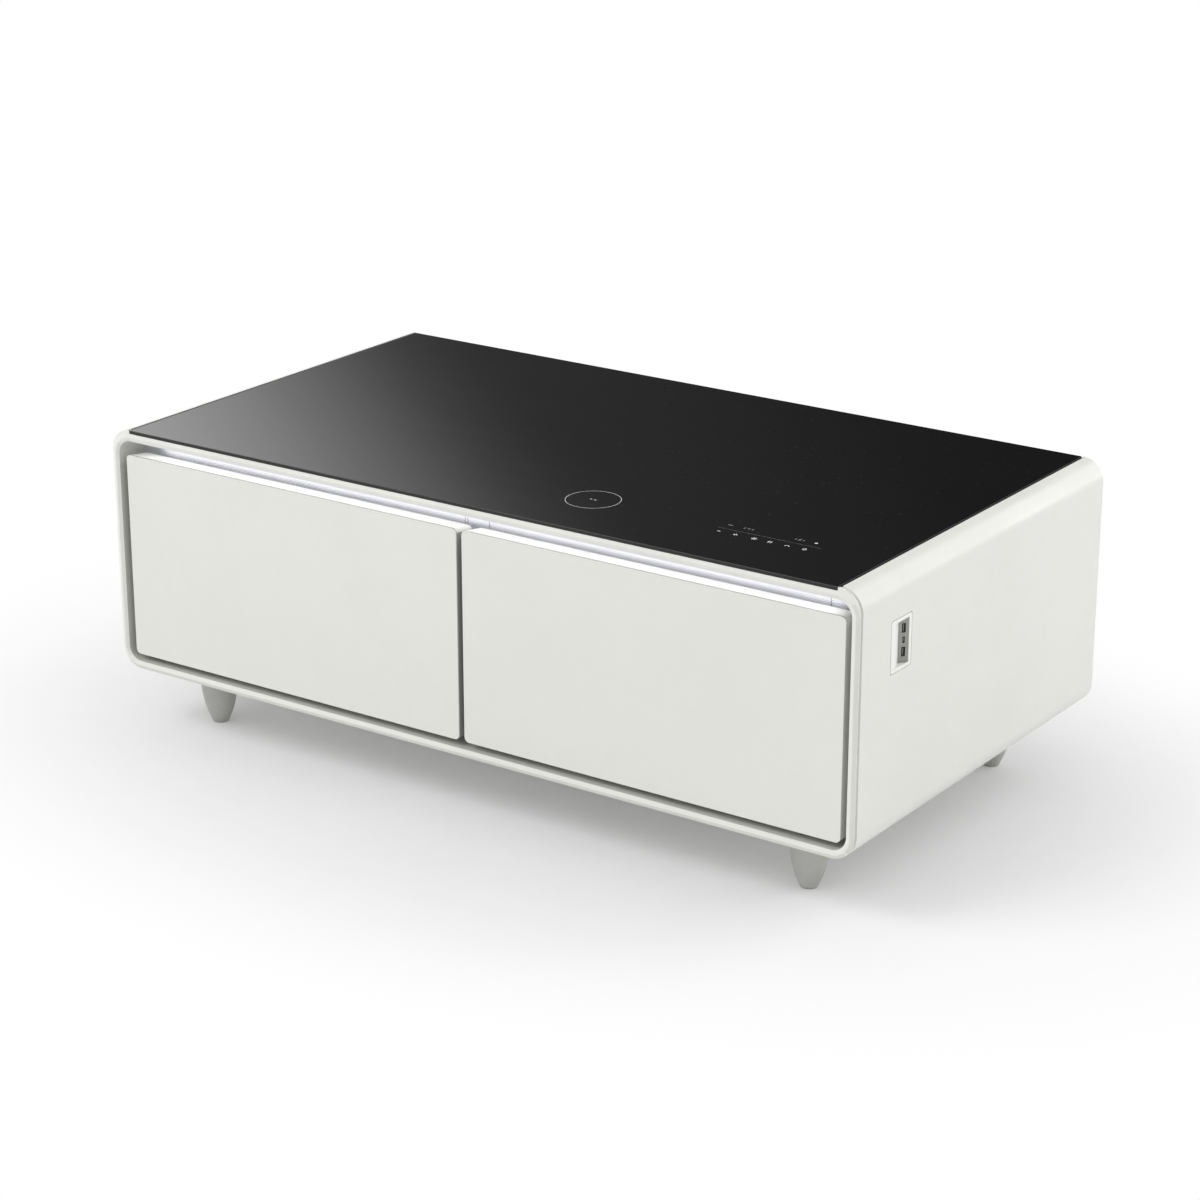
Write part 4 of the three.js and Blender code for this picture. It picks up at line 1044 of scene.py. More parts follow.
@dataclass
class Casing:
    """The wrap-round shell, the ring round its front opening and the panel at its back."""

    half: float = 0.650
    low: float = 0.094
    high: float = 0.475
    radius: float = 0.0346
    wall: float = 0.003
    front: float = -0.350
    back: float = 0.350
    shell_front: float = -0.340
    glass_bed: float = 0.4697
    glass_under: float = 0.470
    ring_width: float = 0.012
    ridge: float = 0.0026
    lip: float = 0.0005
    edge_depth: float = 0.005
    groove: float = 0.003
    groove_back: float = 0.010
    throat: float = 0.0575
    fit: float = 0.0003
    corner_steps: int = 20
    shell_steps: int = 13
    glass_lip: float = 0.0036
    near: float = 1e-5
    # Each hole's middle along X and Y, and half its width and depth.
    bed_holes: tuple[tuple[float, float, float, float], ...] = (
        (0.1473, -0.2268, 0.052, 0.052), (0.4375, -0.2285, 0.094, 0.028),
    )
    outlet_low: Point = (0.600, -0.2652, 0.3335)
    outlet_high: Point = (0.700, -0.2094, 0.4091)
    outlet_corner: float = 0.0042
    edge: float = 0.0004
    crest: float = 0.0013
    channel_low: Point = (-0.600, -0.328, 0.45)
    channel_high: Point = (0.600, -0.316, 0.47)
    channel_depth: float = 0.005

    def case(self, inset: float, high: float) -> Outline:
        """The outline of the casing up to a height, set in by a distance."""
        whole = Outline(-self.half, self.half, self.low, high, self.radius, self.corner_steps)
        return whole.inset(inset)

    def wrap(self) -> None:
        """Builds the shell: a drawn strip with a bed for the glass and a hole for the outlet."""
        form = Form()
        drop = self.high - self.glass_bed
        shape = replace(self.case(0.0, self.high), steps=self.shell_steps)
        form.skin([form.ring(shape, y, drop) for y in (self.shell_front, self.back)])
        form.close()

        def right(face: BMFace) -> bool:
            """Whether a face is part of the right side."""
            return face.normal.x > SQUARE and face.calc_center_median().x > self.half - HAIR

        def bed(face: BMFace) -> bool:
            """Whether a face is part of the bed that the glass lies on."""
            off = abs(face.calc_center_median().z - self.glass_bed)
            return face.normal.z > SQUARE and off < self.near

        holes = form.window(right, self.outlet_low, self.outlet_high)
        for x, y, wide, deep in self.bed_holes:
            ends = (x - wide, y - deep, self.low), (x + wide, y + deep, self.high)
            holes += form.window(bed, *ends)
        bmesh.ops.delete(form.bm, geom=holes, context="FACES")
        bmesh.ops.solidify(form.bm, geom=form.bm.faces[:], thickness=self.wall)
        form.close()
        for vert in form.bm.verts:
            self.thicken(vert)
        lips = [e for e in form.bm.edges if all(self.at_lip(v) for v in e.verts)]
        for face in form.bevel(lips, self.glass_lip, 3):
            face.material_index = 1
        form.soften(self.outlet_corner, self.at_outlet, 5)
        form.soften(self.edge, lambda e: not self.under(e))
        form.piece("casing_shell", "cabinet", [ENAMEL, JOINT], ["outer_shell"])

    def at_outlet(self, edge: BMEdge) -> bool:
        """Finds the corners of the outlet's hole.

        Args:
            edge: Any edge of the shell.

        Returns:
            Whether it is such a corner, and runs through the wall.
        """
        sides = zip(self.outlet_low[1:], self.outlet_high[1:])
        placed = all(min(abs(vert.co[way] - low), abs(vert.co[way] - high)) < self.near
                     for way, (low, high) in enumerate(sides, 1) for vert in edge.verts)
        return placed and abs(edge.verts[0].co.x - edge.verts[1].co.x) > self.wall / 2

    def thicken(self, vert: BMVert) -> None:
        """Moves a point of the shell's inner side to where the top corners are thicker.

        Args:
            vert: Any point of the shell. Other points stay where they are.
        """
        across, up, radius = abs(vert.co.x), vert.co.z, self.radius
        outer = Vector((across - self.half + radius, up - self.high + radius))
        inner_corner = Vector((self.half - self.wall, self.glass_bed - self.wall))
        centre = inner_corner - Vector((1, 1)) * radius
        inner = Vector((across, up)) - centre
        within = outer.x > self.near and outer.length < radius - self.wall / 2
        if within and min(inner) > 0 and inner.length > radius:
            place = centre + inner.normalized() * radius
            vert.co.x = math.copysign(place.x, vert.co.x)
            vert.co.z = place.y

    def at_lip(self, vert: BMVert) -> bool:
        """Finds the points where the casing's top meets the glass.

        Args:
            vert: Any point of the shell.

        Returns:
            Whether it is one of them.
        """
        beside = abs(abs(vert.co.x) - self.half + self.radius) < self.near
        return beside and abs(vert.co.z - self.high) < self.near

    def under(self, edge: BMEdge) -> bool:
        """Finds the edges that stay sharp.

        Args:
            edge: Any edge of the shell.

        Returns:
            Whether it lies at or under the glass, or inside the shell.
        """
        low, top, reach = self.low, self.glass_bed + self.fit, self.half - self.wall / 2
        return all(abs(v.co.x) < reach and low + self.wall / 2 < v.co.z < top for v in edge.verts)

    def ring_profile(self) -> list[tuple[Outline, float, float]]:
        """Draws the ring's section.

        Returns:
            The section as outlines, each with its depth and its step at the glass.
        """
        step = self.high - self.glass_bed
        tiny = HAIR * 20
        half = self.ring_width / 2
        facet = self.ridge / half
        off = self.wall + self.fit
        inside = Outline(-self.half + off, self.half - off, self.low + off, self.glass_bed - off,
                         self.radius, self.corner_steps)
        whole, grooved = self.case(0.0, self.high), self.case(self.groove, self.high)
        lip, ridge, foot = (self.case(by, self.glass_under)
                            for by in (self.lip, half, self.ring_width))
        return [
            (whole, self.edge_depth, step),
            (whole, self.ridge, step),
            (lip, self.ridge - self.lip * facet, tiny),
            (ridge, 0.0, tiny),
            (foot, self.ridge, tiny),
            (foot, self.throat, tiny),
            (inside, self.throat, tiny),
            (inside, self.groove_back, tiny),
            (grooved, self.groove_back, step - self.groove),
            (grooved, self.edge_depth, step - self.groove),
        ]

    def ring(self) -> None:
        """Builds the ridged ring, the groove behind it and the throat round the drawer fronts."""
        form = Form()
        form.skin([form.ring(outline, self.front + depth, drop)
                   for outline, depth, drop in self.ring_profile()], closed=True)
        form.close()
        crest, rim = self.front + HAIR, self.front + self.edge_depth + HAIR
        ridge = [e for e in form.bm.edges if all(v.co.y < crest for v in e.verts)]
        form.bevel(ridge, self.crest, 5)
        form.soften(self.edge, lambda e: all(v.co.y < rim for v in e.verts))
        ceiling_height = self.glass_under - self.ring_width

        def ceiling(face: BMFace) -> bool:
            """Whether a face is part of the throat's ceiling."""
            off = abs(face.calc_center_median().z - ceiling_height)
            return face.normal.z < -SQUARE and off < self.near * 10

        channel = form.window(ceiling, self.channel_low, self.channel_high)
        form.sink(channel, (0.0, 0.0, self.channel_depth))
        # The throat and the flanks that face right or down wear darker copies of the ring plastic:
        # painted shade.
        for face in form.bm.faces:
            face.material_index = self.ring_skin(face)
        skins = [RING_PLASTIC, PAINTED_RECESS_SHADE, PAINTED_FLANK_SHADE, RING_JOINT]
        form.piece("front_ring", "cabinet", skins, ["front_bezel"])

    def ring_skin(self, face: BMFace) -> int:
        """Chooses which of the ring's finishes a face wears.

        Args:
            face: One of the ring's faces.

        Returns:
            0 for the front, 1 for the throat, painted darker as shade, 2 for the flanks that face
            right or down, painted darker as shade, 3 for the top beside the glass.
        """
        place, way = face.calc_center_median(), face.normal
        if self.in_throat(place):
            return 1
        reach = self.half - self.radius + self.glass_lip / 2
        if place.z > self.glass_under and abs(place.x) < reach and way.y > -0.5:
            return 3
        # Faces that lean right, and faces under the bottom that face down, take the painted shade.
        below = way.z < -LEANING and place.z < self.low + self.radius
        return 2 * int(way.x > LEANING or below)

    def in_throat(self, place: Vector) -> bool:
        """Finds what lies on the throat's inside, behind the ring.

        Args:
            place: A place on the ring.

        Returns:
            Whether it lies there.
        """
        reach = self.ring_width - HAIR
        inside = (abs(place.x) < self.half - reach
                  and self.low + reach < place.z < self.glass_under - reach)
        return inside and place.y > self.front + self.ridge + HAIR

    def build(self) -> None:
        """Builds the casing's pieces and dresses its rails."""
        self.wrap()
        self.ring()
        rounded("rear_panel", "back_panel", self.edge, ENAMEL)
        dress(ZINC, "left_leg_rail", "right_leg_rail")


@dataclass
class GlassTop:
    """The glass and what is printed on it."""

    low: Point = (-0.6151, -0.3478, 0.47)
    high: Point = (0.6151, 0.349, 0.47495)
    corner: float = 0.003
    arris: float = 0.0008
    lower_arris: float = 0.0004
    print_top: float = 0.47499
    charger: Point = (0.1478, -0.2268, 0.0397)
    ring_line: float = 0.0007
    line: float = 0.00024
    stroke: float = 0.0014
    # The bars inside the charger's ring: how far out they stand, their length and their width.
    charger_bars: Point = (0.0036, 0.0044, 0.0015)
    # Where the keys stand along X. The last one's sign: its radius, its bar's rise and length.
    keys: tuple[float, ...] = (0.3666, 0.3942, 0.4231, 0.4481, 0.4757, 0.5020)
    lamp_sign: Point = (0.0030, 0.0028, 0.0044)
    key_row: float = -0.2437
    display_row: float = -0.213
    key_line: tuple[float, float, float] = (0.4373, -0.2290, 0.1615)
    touch_dot: tuple[float, float] = (0.5019, 0.0023)
    dash: tuple[float, float] = (0.3665, 0.0082)
    displays: tuple[tuple[float, str], ...] = ((0.3954, "24m1"), (0.4765, "124tmb3"))
    # The bars beside each display: how far out they stand, their length and their width.
    display_bars: Point = (0.0062, 0.0058, 0.0009)
    # The bars of the other keys' signs: the key, the shift right, length, width and turn.
    signs: tuple[tuple[int, float, float, float, float], ...] = (
        (0, 0.0, 0.0052, 0.0020, 0),
        (1, -0.0008, 0.0076, 0.0017, 0),
        (1, -0.0008, 0.0064, 0.0017, 90),
        (2, 0.0, 0.0092, 0.0014, 0),
        (2, 0.0, 0.0092, 0.0014, 60),
        (2, 0.0, 0.0092, 0.0014, 120),
        (3, -0.0019, 0.0068, 0.0017, 90),
        (4, -0.0019, 0.0056, 0.0014, 42),
        (3, 0.0019, 0.0068, 0.0017, 90),
        (4, 0.0019, 0.0056, 0.0014, -42),
    )

    def slab(self) -> None:
        """Builds the glass, with its ground edges."""
        form = Form()
        form.slab(self.low, self.high)
        upright = [e for e in form.bm.edges if abs(e.verts[0].co.z - e.verts[1].co.z) > self.arris]
        form.bevel(upright, self.corner, 4)
        form.soften(self.arris, lambda e: all(v.co.z > self.high[2] - HAIR for v in e.verts))
        form.soften(self.lower_arris, lambda e: all(v.co.z < self.low[2] + HAIR for v in e.verts))
        for face in form.bm.faces:
            face.material_index = int(0.1 < face.normal.z < 0.99)
        form.piece("glass", "cabinet", [GLASS, GROUND_EDGE], ["glass_top"])

    def number(self, form: Form, x: float, y: float, strokes: str) -> None:
        """Adds one figure made of straight strokes.

        Args:
            form: The print.
            x: The figure's middle along X.
            y: The figure's middle along Y.
            strokes: Its strokes: t, m and b lie flat, and the corners are 1 to 4.
        """
        wide, tall, width = 0.0026, 0.0056, 0.0008
        flat = {"t": tall / 2, "m": 0.0, "b": -tall / 2}
        upright = {"1": (-1, 1), "2": (1, 1), "3": (-1, -1), "4": (1, -1)}
        for stroke in strokes:
            if stroke in flat:
                form.bar(x, y + flat[stroke], wide, width)
            else:
                side, half = upright[stroke]
                form.bar(x + side * wide / 2, y + half * tall / 4, tall / 2, width, 90)

    def key_row_signs(self, form: Form) -> None:
        """Adds the plain signs of the six keys and the bright dot above them.

        Args:
            form: The print.
        """
        for key, right, length, width, turn in self.signs:
            form.bar(self.keys[key] + right, self.key_row, length, width, turn)
        lamp, (radius, rise, length) = self.keys[-1], self.lamp_sign
        form.hoop(lamp, self.key_row, radius, self.stroke, 20)
        form.bar(lamp, self.key_row + rise, length, self.stroke, 90)
        x, radius = self.touch_dot
        form.hoop(x, self.display_row, radius, radius, 16)

    def press(self, form: Form, name: str, finish: Finish) -> None:
        """Gives flat shapes their thickness and lays them on the glass.

        Args:
            form: The flat shapes.
            name: The print's name.
            finish: Its finish.
        """
        flat, top = form.bm.faces[:], self.high[2]
        made = bmesh.ops.extrude_face_region(form.bm, geom=flat, use_keep_orig=True)["geom"]
        form.shift(made, (0.0, 0.0, self.print_top - top))
        form.shift(form.bm.verts[:], (0.0, 0.0, top))
        # Strokes that touch stay shapes of their own, so no points are merged here.
        bmesh.ops.recalc_face_normals(form.bm, faces=form.bm.faces)
        form.piece(name, "cabinet", [finish])

    def printing(self) -> None:
        """Builds the print: the charger's ring, the key row and two plain displays."""
        bright, faint = Form(), Form()
        x, y, radius = self.charger
        bright.hoop(x, y, radius, self.ring_line, 96)
        out, length, width = self.charger_bars
        for side in Side:
            bright.bar(x + side.value * out, y, length, width)
        self.key_row_signs(bright)
        faint.bar(*self.key_line, self.line, 0.7)
        faint.bar(self.dash[0], self.display_row, self.dash[1], self.stroke)
        for middle, strokes in self.displays:
            self.number(faint, middle, self.display_row, strokes)
            out, length, width = self.display_bars
            for side in Side:
                faint.bar(middle + side.value * out, self.display_row, length, width, 90)
        self.press(bright, "glass_print", PRINT)
        self.press(faint, "faint_print", FAINT_PRINT)

    def build(self) -> None:
        """Builds the glass and its print."""
        self.slab()
        self.printing()


@dataclass
class Legs:
    """The four legs, turned from one profile."""

    profile: tuple[tuple[float, float], ...] = (
        (0.0116, 0.0), (0.0125, 0.0008), (0.0148, 0.006), (0.0174, 0.012), (0.0198, 0.018),
        (0.0217, 0.024), (0.0233, 0.030), (0.0245, 0.036), (0.0255, 0.042), (0.0267, 0.048),
        (0.0282, 0.060), (0.0293, 0.075), (0.0298, 0.088), (0.0298, 0.0937),
    )
    stud: float = 0.004
    stud_top: float = 0.1013
    half_x: float = 0.5332
    half_y: float = 0.263
    sides: int = 72
    sole: float = 0.0004

    def leg(self, name: str, x: float, y: float) -> None:
        """Turns one leg and its stud.

        Args:
            name: The frame's node for it.
            x: Where it stands along X.
            y: Where it stands along Y.
        """
        form = Form()
        points = [(0.0, 0.0), *self.profile, (self.stud, self.profile[-1][1]),
                  (self.stud, self.stud_top), (0.0, self.stud_top)]
        verts = [form.bm.verts.new((radius, 0.0, height)) for radius, height in points]
        edges = [form.bm.edges.new(pair) for pair in zip(verts, verts[1:])]
        bmesh.ops.spin(form.bm, geom=verts + edges, cent=(0, 0, 0), axis=(0, 0, 1),
                       dvec=(0, 0, 0), angle=2 * math.pi, steps=self.sides, use_merge=True)
        form.close()
        bmesh.ops.translate(form.bm, vec=(x, y, 0.0), verts=form.bm.verts)
        for face in form.bm.faces:
            face.material_index = int(face.calc_center_median().z < self.sole)
        form.piece(f"{name}_turned", "cabinet", [LEG_PLASTIC, FOOT_RUBBER], [name])

    def build(self) -> None:
        """Builds the four legs."""
        for row, y in (("front", -self.half_y), ("rear", self.half_y)):
            for side, x in (("left", -self.half_x), ("right", self.half_x)):
                self.leg(f"{row}_{side}_leg", x, y)


@dataclass
class Drawer:
    """One drawer: its insulated front, its seal, its box and its runners."""

    side: Side
    centre: float = 0.315975
    half: float = 0.311225
    low: float = 0.116
    high: float = 0.435
    corner: float = 0.008
    face: float = -0.344
    depth: float = 0.039
    fall: float = 0.0056
    plate: float = 0.002
    fit: float = 0.0003
    pan_wall: float = 0.0025
    box_half: float = 0.272925
    box_front: float = -0.3024
    box_back: float = 0.0744
    box_low: float = 0.148
    box_high: float = 0.353
    box_wall: float = 0.0025
    box_floor: float = 0.003
    box_corner: float = 0.012
    opening_half: float = 0.287225
    opening_low: float = 0.140
    opening_high: float = 0.393
    seal_front: float = -0.3024
    seal_back: float = -0.2925
    seal_lap: float = 0.004
    seal_width: float = 0.014
    seal_fold: float = 0.0028
    plate_edge: float = 0.0005
    pan_edge: float = 0.0007
    panel_edge: float = 0.0006
    seal_edge: float = 0.0005
    box_edge: float = 0.0009
    runner_edge: float = 0.0003

    def __post_init__(self) -> None:
        """Places the drawer on its side and names its body."""
        self.x = self.side.value * self.centre
        self.name = f"{self.side.word}_drawer"

    def outline(self) -> Outline:
        """The front's outline."""
        return Outline(self.x - self.half, self.x + self.half, self.low, self.high, self.corner)

    def let_fall(self, form: Form) -> None:
        """Lowers the top towards the back.

        Args:
            form: The form whose top falls.
        """
        for vert in form.bm.verts:
            back = (vert.co.y - self.face) / self.depth
            up = (vert.co.z - self.low) / (self.high - self.low)
            vert.co.z -= self.fall * back * up

    def front_plate(self) -> None:
        """Builds the thin plate that shows at the front."""
        form = Form()
        form.draw(form.panel(self.outline(), self.face), (0.0, self.plate, 0.0))
        self.let_fall(form)
        form.close()
        front = self.face + HAIR
        form.soften(self.plate_edge, lambda e: all(v.co.y < front for v in e.verts), 3)
        # The plate's top faces wear the dark grey, a painted shadow line along its seam.
        for face in form.bm.faces:
            face.material_index = int(face.normal.z > 0.7)
        skins = [FRONT_ENAMEL, PAINTED_SEAM_SHADOW]
        form.piece(f"{self.name}_face", self.name, skins, [f"{self.name}_plate"])

    def pan(self) -> None:
        """Builds the moulded pan behind the plate, hollow from the back."""
        form = Form()
        start, end = self.face + self.plate + self.fit, self.face + self.depth
        back = form.draw(form.panel(self.outline(), start), (0.0, end - start, 0.0))
        form.close()
        form.sink([back], (0.0, start + self.pan_wall - end, 0.0), self.pan_wall)
        self.let_fall(form)
        form.soften(self.pan_edge)
        # Faces that don't face up wear painted shade for the gaps round the drawer, darker still on
        # the side facing the other drawer.
        for face in form.bm.faces:
            inwards = face.normal.x * self.side.value < -LEANING
            face.material_index = 0 if face.normal.z >= LEANING else 1 + int(inwards)
        skins = [FRONT_ENAMEL, PAINTED_GAP_SHADE, PAINTED_CENTRE_GAP_SHADE]
        form.piece(f"{self.name}_tray", self.name, skins, [f"{self.name}_pan"])

    def seal(self) -> None:
        """Builds the folded magnetic seal round the box."""
        def around(reach: float) -> Outline:
            """The seal's outline at a distance outside the opening."""
            return Outline(self.x - self.opening_half - reach, self.x + self.opening_half + reach,
                           self.opening_low - reach, self.opening_high + reach, reach, 8)

        inner, outer = self.seal_lap, self.seal_lap + self.seal_width
        deep, fold = self.seal_back - self.seal_front, self.seal_fold
        section = [
            (inner, 0.0), (outer, 0.0), (outer, 0.22), (outer - fold, 0.34), (outer - fold, 0.5),
            (outer, 0.62), (outer, 1.0), (inner, 1.0), (inner, 0.62), (inner + fold, 0.5),
            (inner + fold, 0.34), (inner, 0.22),
        ]
        form = Form()
        form.skin([form.ring(around(reach), self.seal_front + share * deep)
                   for reach, share in section], closed=True)
        form.close()
        form.soften(self.seal_edge)
        form.piece(f"{self.name}_seal", self.name, [SEAL], [f"{self.name}_gasket"])

    def box(self) -> None:
        """Builds the moulded box that holds the food."""
        form = Form()
        outline = Outline(self.x - self.box_half, self.x + self.box_half, self.box_front,
                          self.box_back, self.box_corner, 8)
        floor = form.panel(outline, self.box_low, Plane.TOP)
        top = form.draw(floor, (0.0, 0.0, self.box_high - self.box_low))
        form.close()
        form.sink([top], (0.0, 0.0, self.box_low + self.box_floor - self.box_high), self.box_wall)
        form.soften(self.box_edge, segments=3)
        form.piece(f"{self.name}_bin", self.name, [BOX_PLASTIC], [f"{self.name}_box"])

    def runners(self) -> None:
        """Builds the three members of both runners."""
        for side in Side:
            runner = f"{self.name}_{side.word}"
            bodies = {"cabinet": "cabinet", "middle": f"{runner}_runner", "box": self.name}
            for member, body in bodies.items():
                node, name = f"{runner}_{member}_runner", f"{runner}_{member}_member"
                rounded(node, name, self.runner_edge, ZINC, body)

    def build(self) -> None:
        """Builds the drawer's pieces and dresses its foam."""
        self.front_plate()
        self.pan()
        panel, sheet = f"{self.name}_inner_panel", f"{self.name}_inner_sheet"
        rounded(panel, sheet, self.panel_edge, LINER, self.name)
        self.seal()
        self.box()
        self.runners()
        dress(FOAM, f"{self.name}_foam")


@dataclass
class Outlet:
    """The recess in the right side, with its tilted plate of ports.

    The plate's directions and its deepest corner are given along X and Y.
    """

    deep: tuple[float, float] = (0.641, -0.2301)
    outward: tuple[float, float] = (0.812, -0.584)
    along: tuple[float, float] = (0.584, 0.812)
    half_span: float = 0.0077
    slot_floor: float = -0.0072
    slot_rim: float = 0.002
    skin: float = 0.0004
    tongue: float = 0.0008
    edge: float = 0.0007
    corner: float = 0.0035
    deep_edge: float = 0.02
    port_edge: float = 0.00015

    def housing(self) -> None:
        """Builds the white frame of the recess, with its corners rounded."""
        def inward(edge: BMEdge) -> bool:
            """Whether an edge runs into the recess."""
            return abs(edge.verts[0].co.x - edge.verts[1].co.x) > self.deep_edge

        form = carried("outlet_frame")
        form.soften(self.corner, inward, 5)
        form.soften(self.edge)
        form.piece("outlet_housing", "cabinet", [SOCKET_WHITE], ["outlet_frame"])

    def ports(self) -> None:
        """Builds the grey plate, with its slots painted dark as their shade, and paler tongues."""
        form = carried("usb_module")
        low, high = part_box("usb_module")
        for face in form.bm.faces:
            middle = face.calc_center_median()
            away = [middle[way] - self.deep[way] for way in range(2)]
            out = sum(part * way for part, way in zip(away, self.outward))
            across = sum(part * way for part, way in zip(away, self.along)) - self.half_span
            level = low.z + self.slot_rim < middle.z < high.z - self.slot_rim
            inside = level and self.slot_floor < out < -self.skin
            near = abs(across) < self.tongue + self.skin / 4
            on_tongue = near and out > self.slot_floor + self.tongue
            # Faces inside a slot wear the painted shade, and those on its tongue the paler grey.
            face.material_index = int(inside) + int(inside and on_tongue)
        form.soften(self.port_edge)
        form.piece("port_plate", "cabinet", [PORT_GREY, PAINTED_SLOT_SHADE, PORT_TONGUE], ["usb_module"])

    def build(self) -> None:
        """Builds the outlet's pieces."""
        self.housing()
        self.ports()


@dataclass
class LightAndSound:
    """The dotted grille, the lamp that lights it and the speakers behind it."""

    speaker_edge: float = 0.0005

    def build(self) -> None:
        """Builds the speakers' frames and dresses the grille and the lamp."""
        dress(GRILLE, "speaker_grille")
        dress(LAMP, "led_strip")
        for side in Side:
            node = f"{side.word}_speaker"
            rounded(node, f"{node}_frame", self.speaker_edge, BLACK_PLASTIC)


@dataclass
class ColdCabinet:
    """The insulation, the liners and the cold plates."""

    liner_edge: float = 0.0008

    def build(self) -> None:
        """Builds the liners and dresses what lies behind them."""
        for side in Side:
            rounded(f"{side.word}_liner", f"{side.word}_compartment", self.liner_edge, LINER)
        dress(FOAM, "floor_insulation", "ceiling_insulation", "left_side_insulation",
              "right_side_insulation", "centre_insulation", "rear_insulation")
        dress(ALUMINIUM, "left_evaporator", "right_evaporator")


@dataclass
class Electronics:
    """The charger and the touch board under the glass."""

    edge: float = 0.0003

    def build(self) -> None:
        """Builds both parts."""
        rounded("wireless_charger", "charging_pad", self.edge, BLACK_PLASTIC)
        rounded("touch_board", "key_board", self.edge, BOARD)


@dataclass
class MachineBay:
    """What cools the cabinet, behind the panel at the back."""

    edge: float = 0.0005

    def build(self) -> None:
        """Builds the moulded and pressed parts and dresses the rest."""
        rounded("compressor", "pump", self.edge, BLACK_PAINT)
        rounded("fan_frame", "fan_housing", self.edge, BLACK_PLASTIC)
        rounded("fan_rotor", "fan_wheel", self.edge, BLACK_PLASTIC, "condenser_fan")
        rounded("control_board", "power_board", self.edge, BOARD)
        rounded("power_inlet", "mains_socket", self.edge, BLACK_PLASTIC)
        dress(ALUMINIUM, "condenser")
        dress(COPPER, "discharge_pipe", "suction_pipe")


@dataclass(frozen=True)
class Lamp:
    """One soft rectangular lamp."""

    name: str
    place: Point
    aim: Point
    width: float
    height: float
    power: float

    def hang(self, mirror: bpy.types.Object) -> None:
        """Hangs the lamp and points it, and keeps its hard-edged image out of the glass.

        Args:
            mirror: The glass, which shows the backdrop instead of the lamp.
        """
        data = bpy.data.lights.new(self.name, "AREA")
        data.shape = "RECTANGLE"
        data.size, data.size_y = self.width, self.height
        data.energy = self.power
        made = added(self.name, data)
        made.location = self.place
        way = Vector(self.aim) - Vector(self.place)
        made.rotation_mode = "QUATERNION"
        made.rotation_quaternion = way.to_track_quat("-Z", "Y")
        lit = bpy.data.collections.new(self.name + " lights")
        lit.objects.link(mirror)
        lit.collection_objects[0].light_linking.link_state = "EXCLUDE"
        made.light_linking.receiver_collection = lit


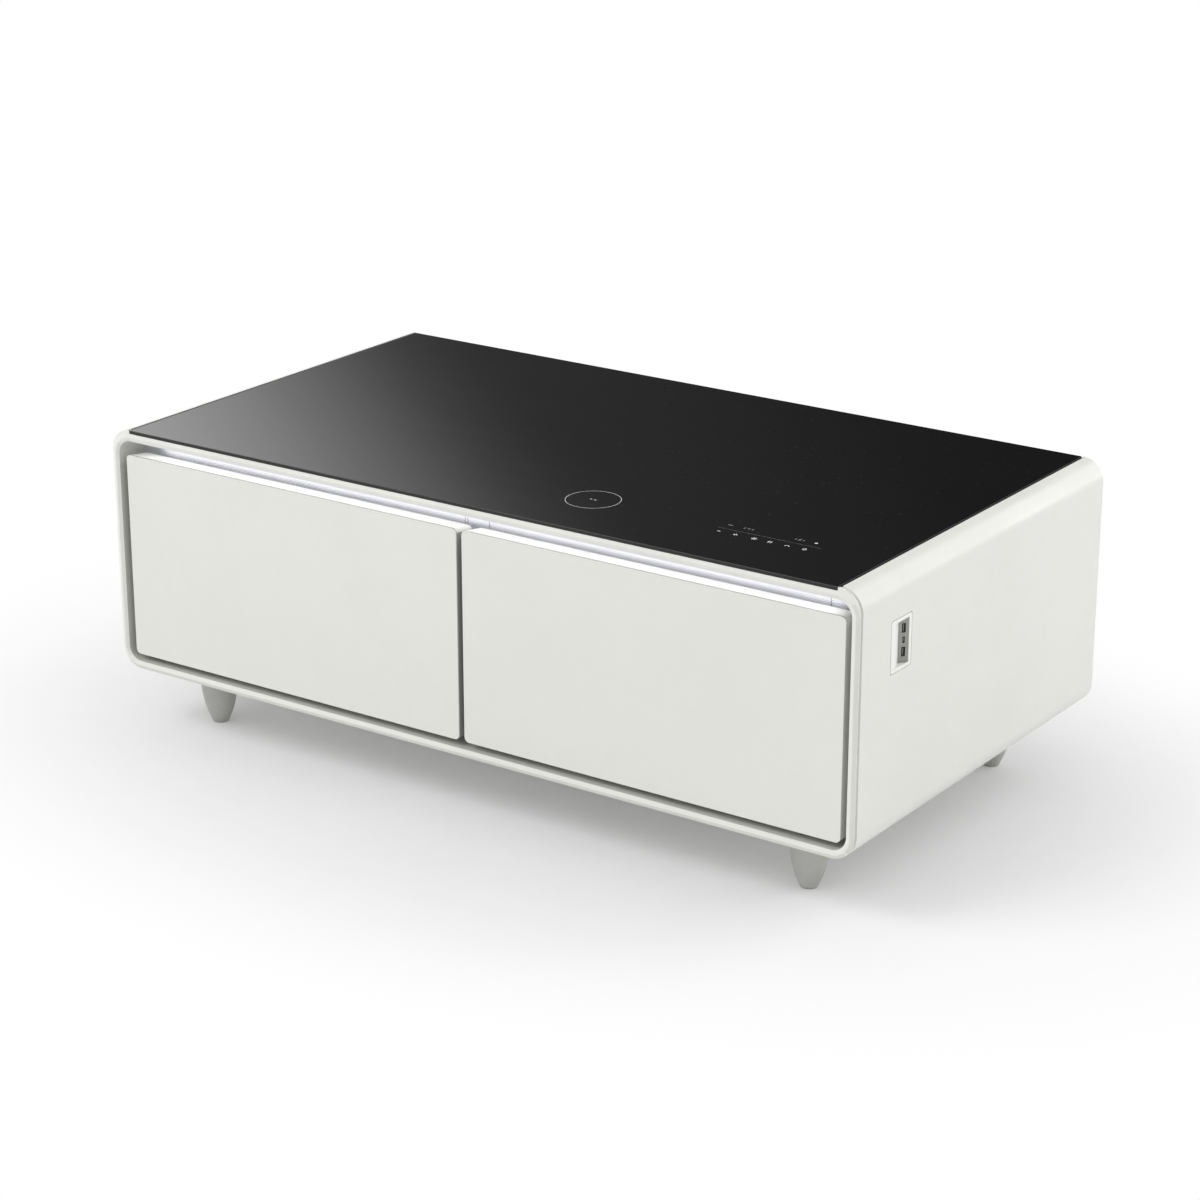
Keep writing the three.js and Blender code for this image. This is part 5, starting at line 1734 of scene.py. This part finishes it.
@dataclass
class Studio:
    """The floor, the light and the camera."""

    floor_radius: float = 14.0
    # The floor fades to white between two distances, and near the table starts from a share
    # of painted white light that lifts its shadow.
    near: float = 0.46
    far: float = 0.94
    painted_shadow_lift: float = 0.14
    squeeze: Point = (0.7, 1.0, 1.0)
    fill: Colour = (0.68, 0.68, 0.68 * 0.98)
    camera: Point = (2.51732, -3.61414, 1.80581)
    # The camera's turn and tilt are in radians, its lens and sensor in millimetres.
    turn: float = 0.6081371177
    tilt: float = -0.3437376625
    lens: float = 93.37
    sensor: float = 36.0
    floor_drop: float = 0.0002
    floor_tones: tuple[Colour, Colour] = (tone(240, 240, 242), tone(238, 238, 240))
    floor_grain: tuple[float, float, float] = (300.0, 0.85, 0.95)
    clip: tuple[float, float] = (0.05, 100.0)
    # The bands of light in the glass: the rise at which they are measured, and their lean.
    lean: tuple[float, float] = (16.0, 0.85)
    horizon: tuple[float, float] = (8.0, 12.5)
    lamps: tuple[Lamp, ...] = (
        Lamp("Key", (-3.8, -5.0, 6.5), (0.0, 0.0, 0.3), 4.5, 4.0, 278.0),
        Lamp("Side", (3.9, 6.2, 3.4), (0.0, 0.0, 0.3), 5.5, 6.6, 282.0),
    )
    # What the glass mirrors: the light at each angle, in degrees, across the bands.
    backdrop: tuple[tuple[float, float], ...] = (
        (26.7, 0.04), (29.6, 0.05), (33.1, 0.08), (36.3, 0.106), (37.2, 0.144), (38.15, 0.223),
        (39.0, 0.357), (39.9, 0.533), (40.75, 0.706), (41.6, 0.93), (42.4, 1.1), (43.2, 1.31),
        (44.0, 1.47), (47.0, 1.6), (62.0, 1.4), (80.0, 0.4), (165.0, 0.04),
    )

    def floor(self) -> None:
        """Lays a pale floor that keeps the table's shadow, lifted by painted light, and turns white
        far off.
        """
        form = Form()
        bmesh.ops.create_circle(form.bm, cap_ends=True, segments=128, radius=self.floor_radius)
        form.shift(form.bm.verts[:], (0.0, 0.0, -self.floor_drop))
        mesh = bpy.data.meshes.new("Floor")
        form.bm.to_mesh(mesh)
        form.bm.free()
        made = added("Floor", mesh)
        material, bench = new_material("Pale floor")
        place = bench.object_place()
        rough = effect(bench, Effect.GRAIN, place, *self.floor_grain)[1]
        bench.feed(Base_Color=effect(bench, Effect.DRIFT, place, *self.floor_tones, 2.0)[0],
                   Roughness=rough, Specular_IOR_Level=0.0)
        away = bench.length(bench.vector("MULTIPLY", place, self.squeeze))
        path = bench.place("ShaderNodeLightPath").outputs
        seen = bench.sum("MAXIMUM", path["Is Camera Ray"],
                         bench.sum("MAXIMUM", path["Is Glossy Ray"], path["Is Transmission Ray"]))
        # Near the table a share of painted white light lifts the table's shadow on the floor.
        share = bench.sum("MULTIPLY", bench.spread(away, self.near, self.far, self.painted_shadow_lift, 1.0), seen)
        nodes = material.node_tree.nodes
        ends = {1: nodes["Principled BSDF"].outputs[0],
                2: bench.place("ShaderNodeEmission", {0: WHITE, 1: 1.0}).outputs[0]}
        both = bench.place("ShaderNodeMixShader", {0: share, **ends})
        bench.fill(nodes["Material Output"].inputs[0], both.outputs[0])
        mesh.materials.append(material)

    def surroundings(self) -> None:
        """Makes the room: white to the camera, an even fill, and a backdrop for reflections."""
        world = bpy.data.worlds.new("Studio")
        world.use_nodes = True
        bpy.context.scene.world = world
        bench = Bench(world.node_tree)
        x, y, z = bench.axes(bench.place("ShaderNodeTexCoord").outputs["Generated"])
        left = bench.sum("DEGREES", bench.sum("ARCTAN2", bench.sum("MULTIPLY", x, -1.0), y))
        rise = bench.sum("DEGREES", bench.sum("ARCSINE", z))
        level, slope = self.lean
        lifted = bench.sum("MULTIPLY", bench.sum("SUBTRACT", rise, level), slope)
        reach = bench.sum("ADD", left, lifted)
        first, last = self.backdrop[0][0], self.backdrop[-1][0]
        along = bench.sum("DIVIDE", bench.sum("SUBTRACT", reach, first), last - first)
        ramp = bench.place("ShaderNodeValToRGB", {0: along})
        stops = ramp.color_ramp.elements
        while len(stops) < len(self.backdrop):
            stops.new(0.5)
        for stop, (degrees, light) in zip(stops, self.backdrop):
            stop.position = (degrees - first) / (last - first)
            stop.color = (light / 2, light / 2, light / 2, 1.0)
        glow = bench.scaled(ramp.outputs[0], 2.0)
        sky = bench.mix(bench.spread(rise, *self.horizon, 1.0, 0.0), glow, WHITE)
        path = bench.place("ShaderNodeLightPath").outputs
        mirrored = bench.sum("MAXIMUM", path["Is Glossy Ray"], path["Is Transmission Ray"])
        lit = bench.mix(mirrored, self.fill, sky)
        seen = bench.mix(path["Is Camera Ray"], lit, WHITE)
        background = world.node_tree.nodes["Background"]
        bench.fill(background.inputs[0], seen)
        background.inputs[1].default_value = 1.0

    def view(self) -> None:
        """Sets up the camera at the photograph's place."""
        data = bpy.data.cameras.new("Camera")
        data.lens = self.lens
        data.sensor_width = self.sensor
        data.clip_start, data.clip_end = self.clip
        made = added("Camera", data)
        made.location = self.camera
        made.rotation_euler = (math.pi / 2 + self.tilt, 0.0, self.turn)
        bpy.context.scene.camera = made

    def build(self) -> None:
        """Sets up the studio."""
        self.floor()
        self.surroundings()
        for lamp in self.lamps:
            lamp.hang(bpy.data.objects["glass"])
        self.view()
        bpy.context.scene.view_settings.view_transform = "Standard"


def main() -> None:
    """Builds every sub-assembly in order, then the studio."""
    logging.basicConfig(level=logging.INFO, format="%(message)s")
    parts = (Casing(), GlassTop(), Legs(), Drawer(Side.LEFT), Drawer(Side.RIGHT), Outlet(),
             LightAndSound(), ColdCabinet(), Electronics(), MachineBay(), Studio())
    for part in parts:
        log.info("Building: %s", type(part).__name__)
        part.build()


if __name__ == "__main__":
    main()
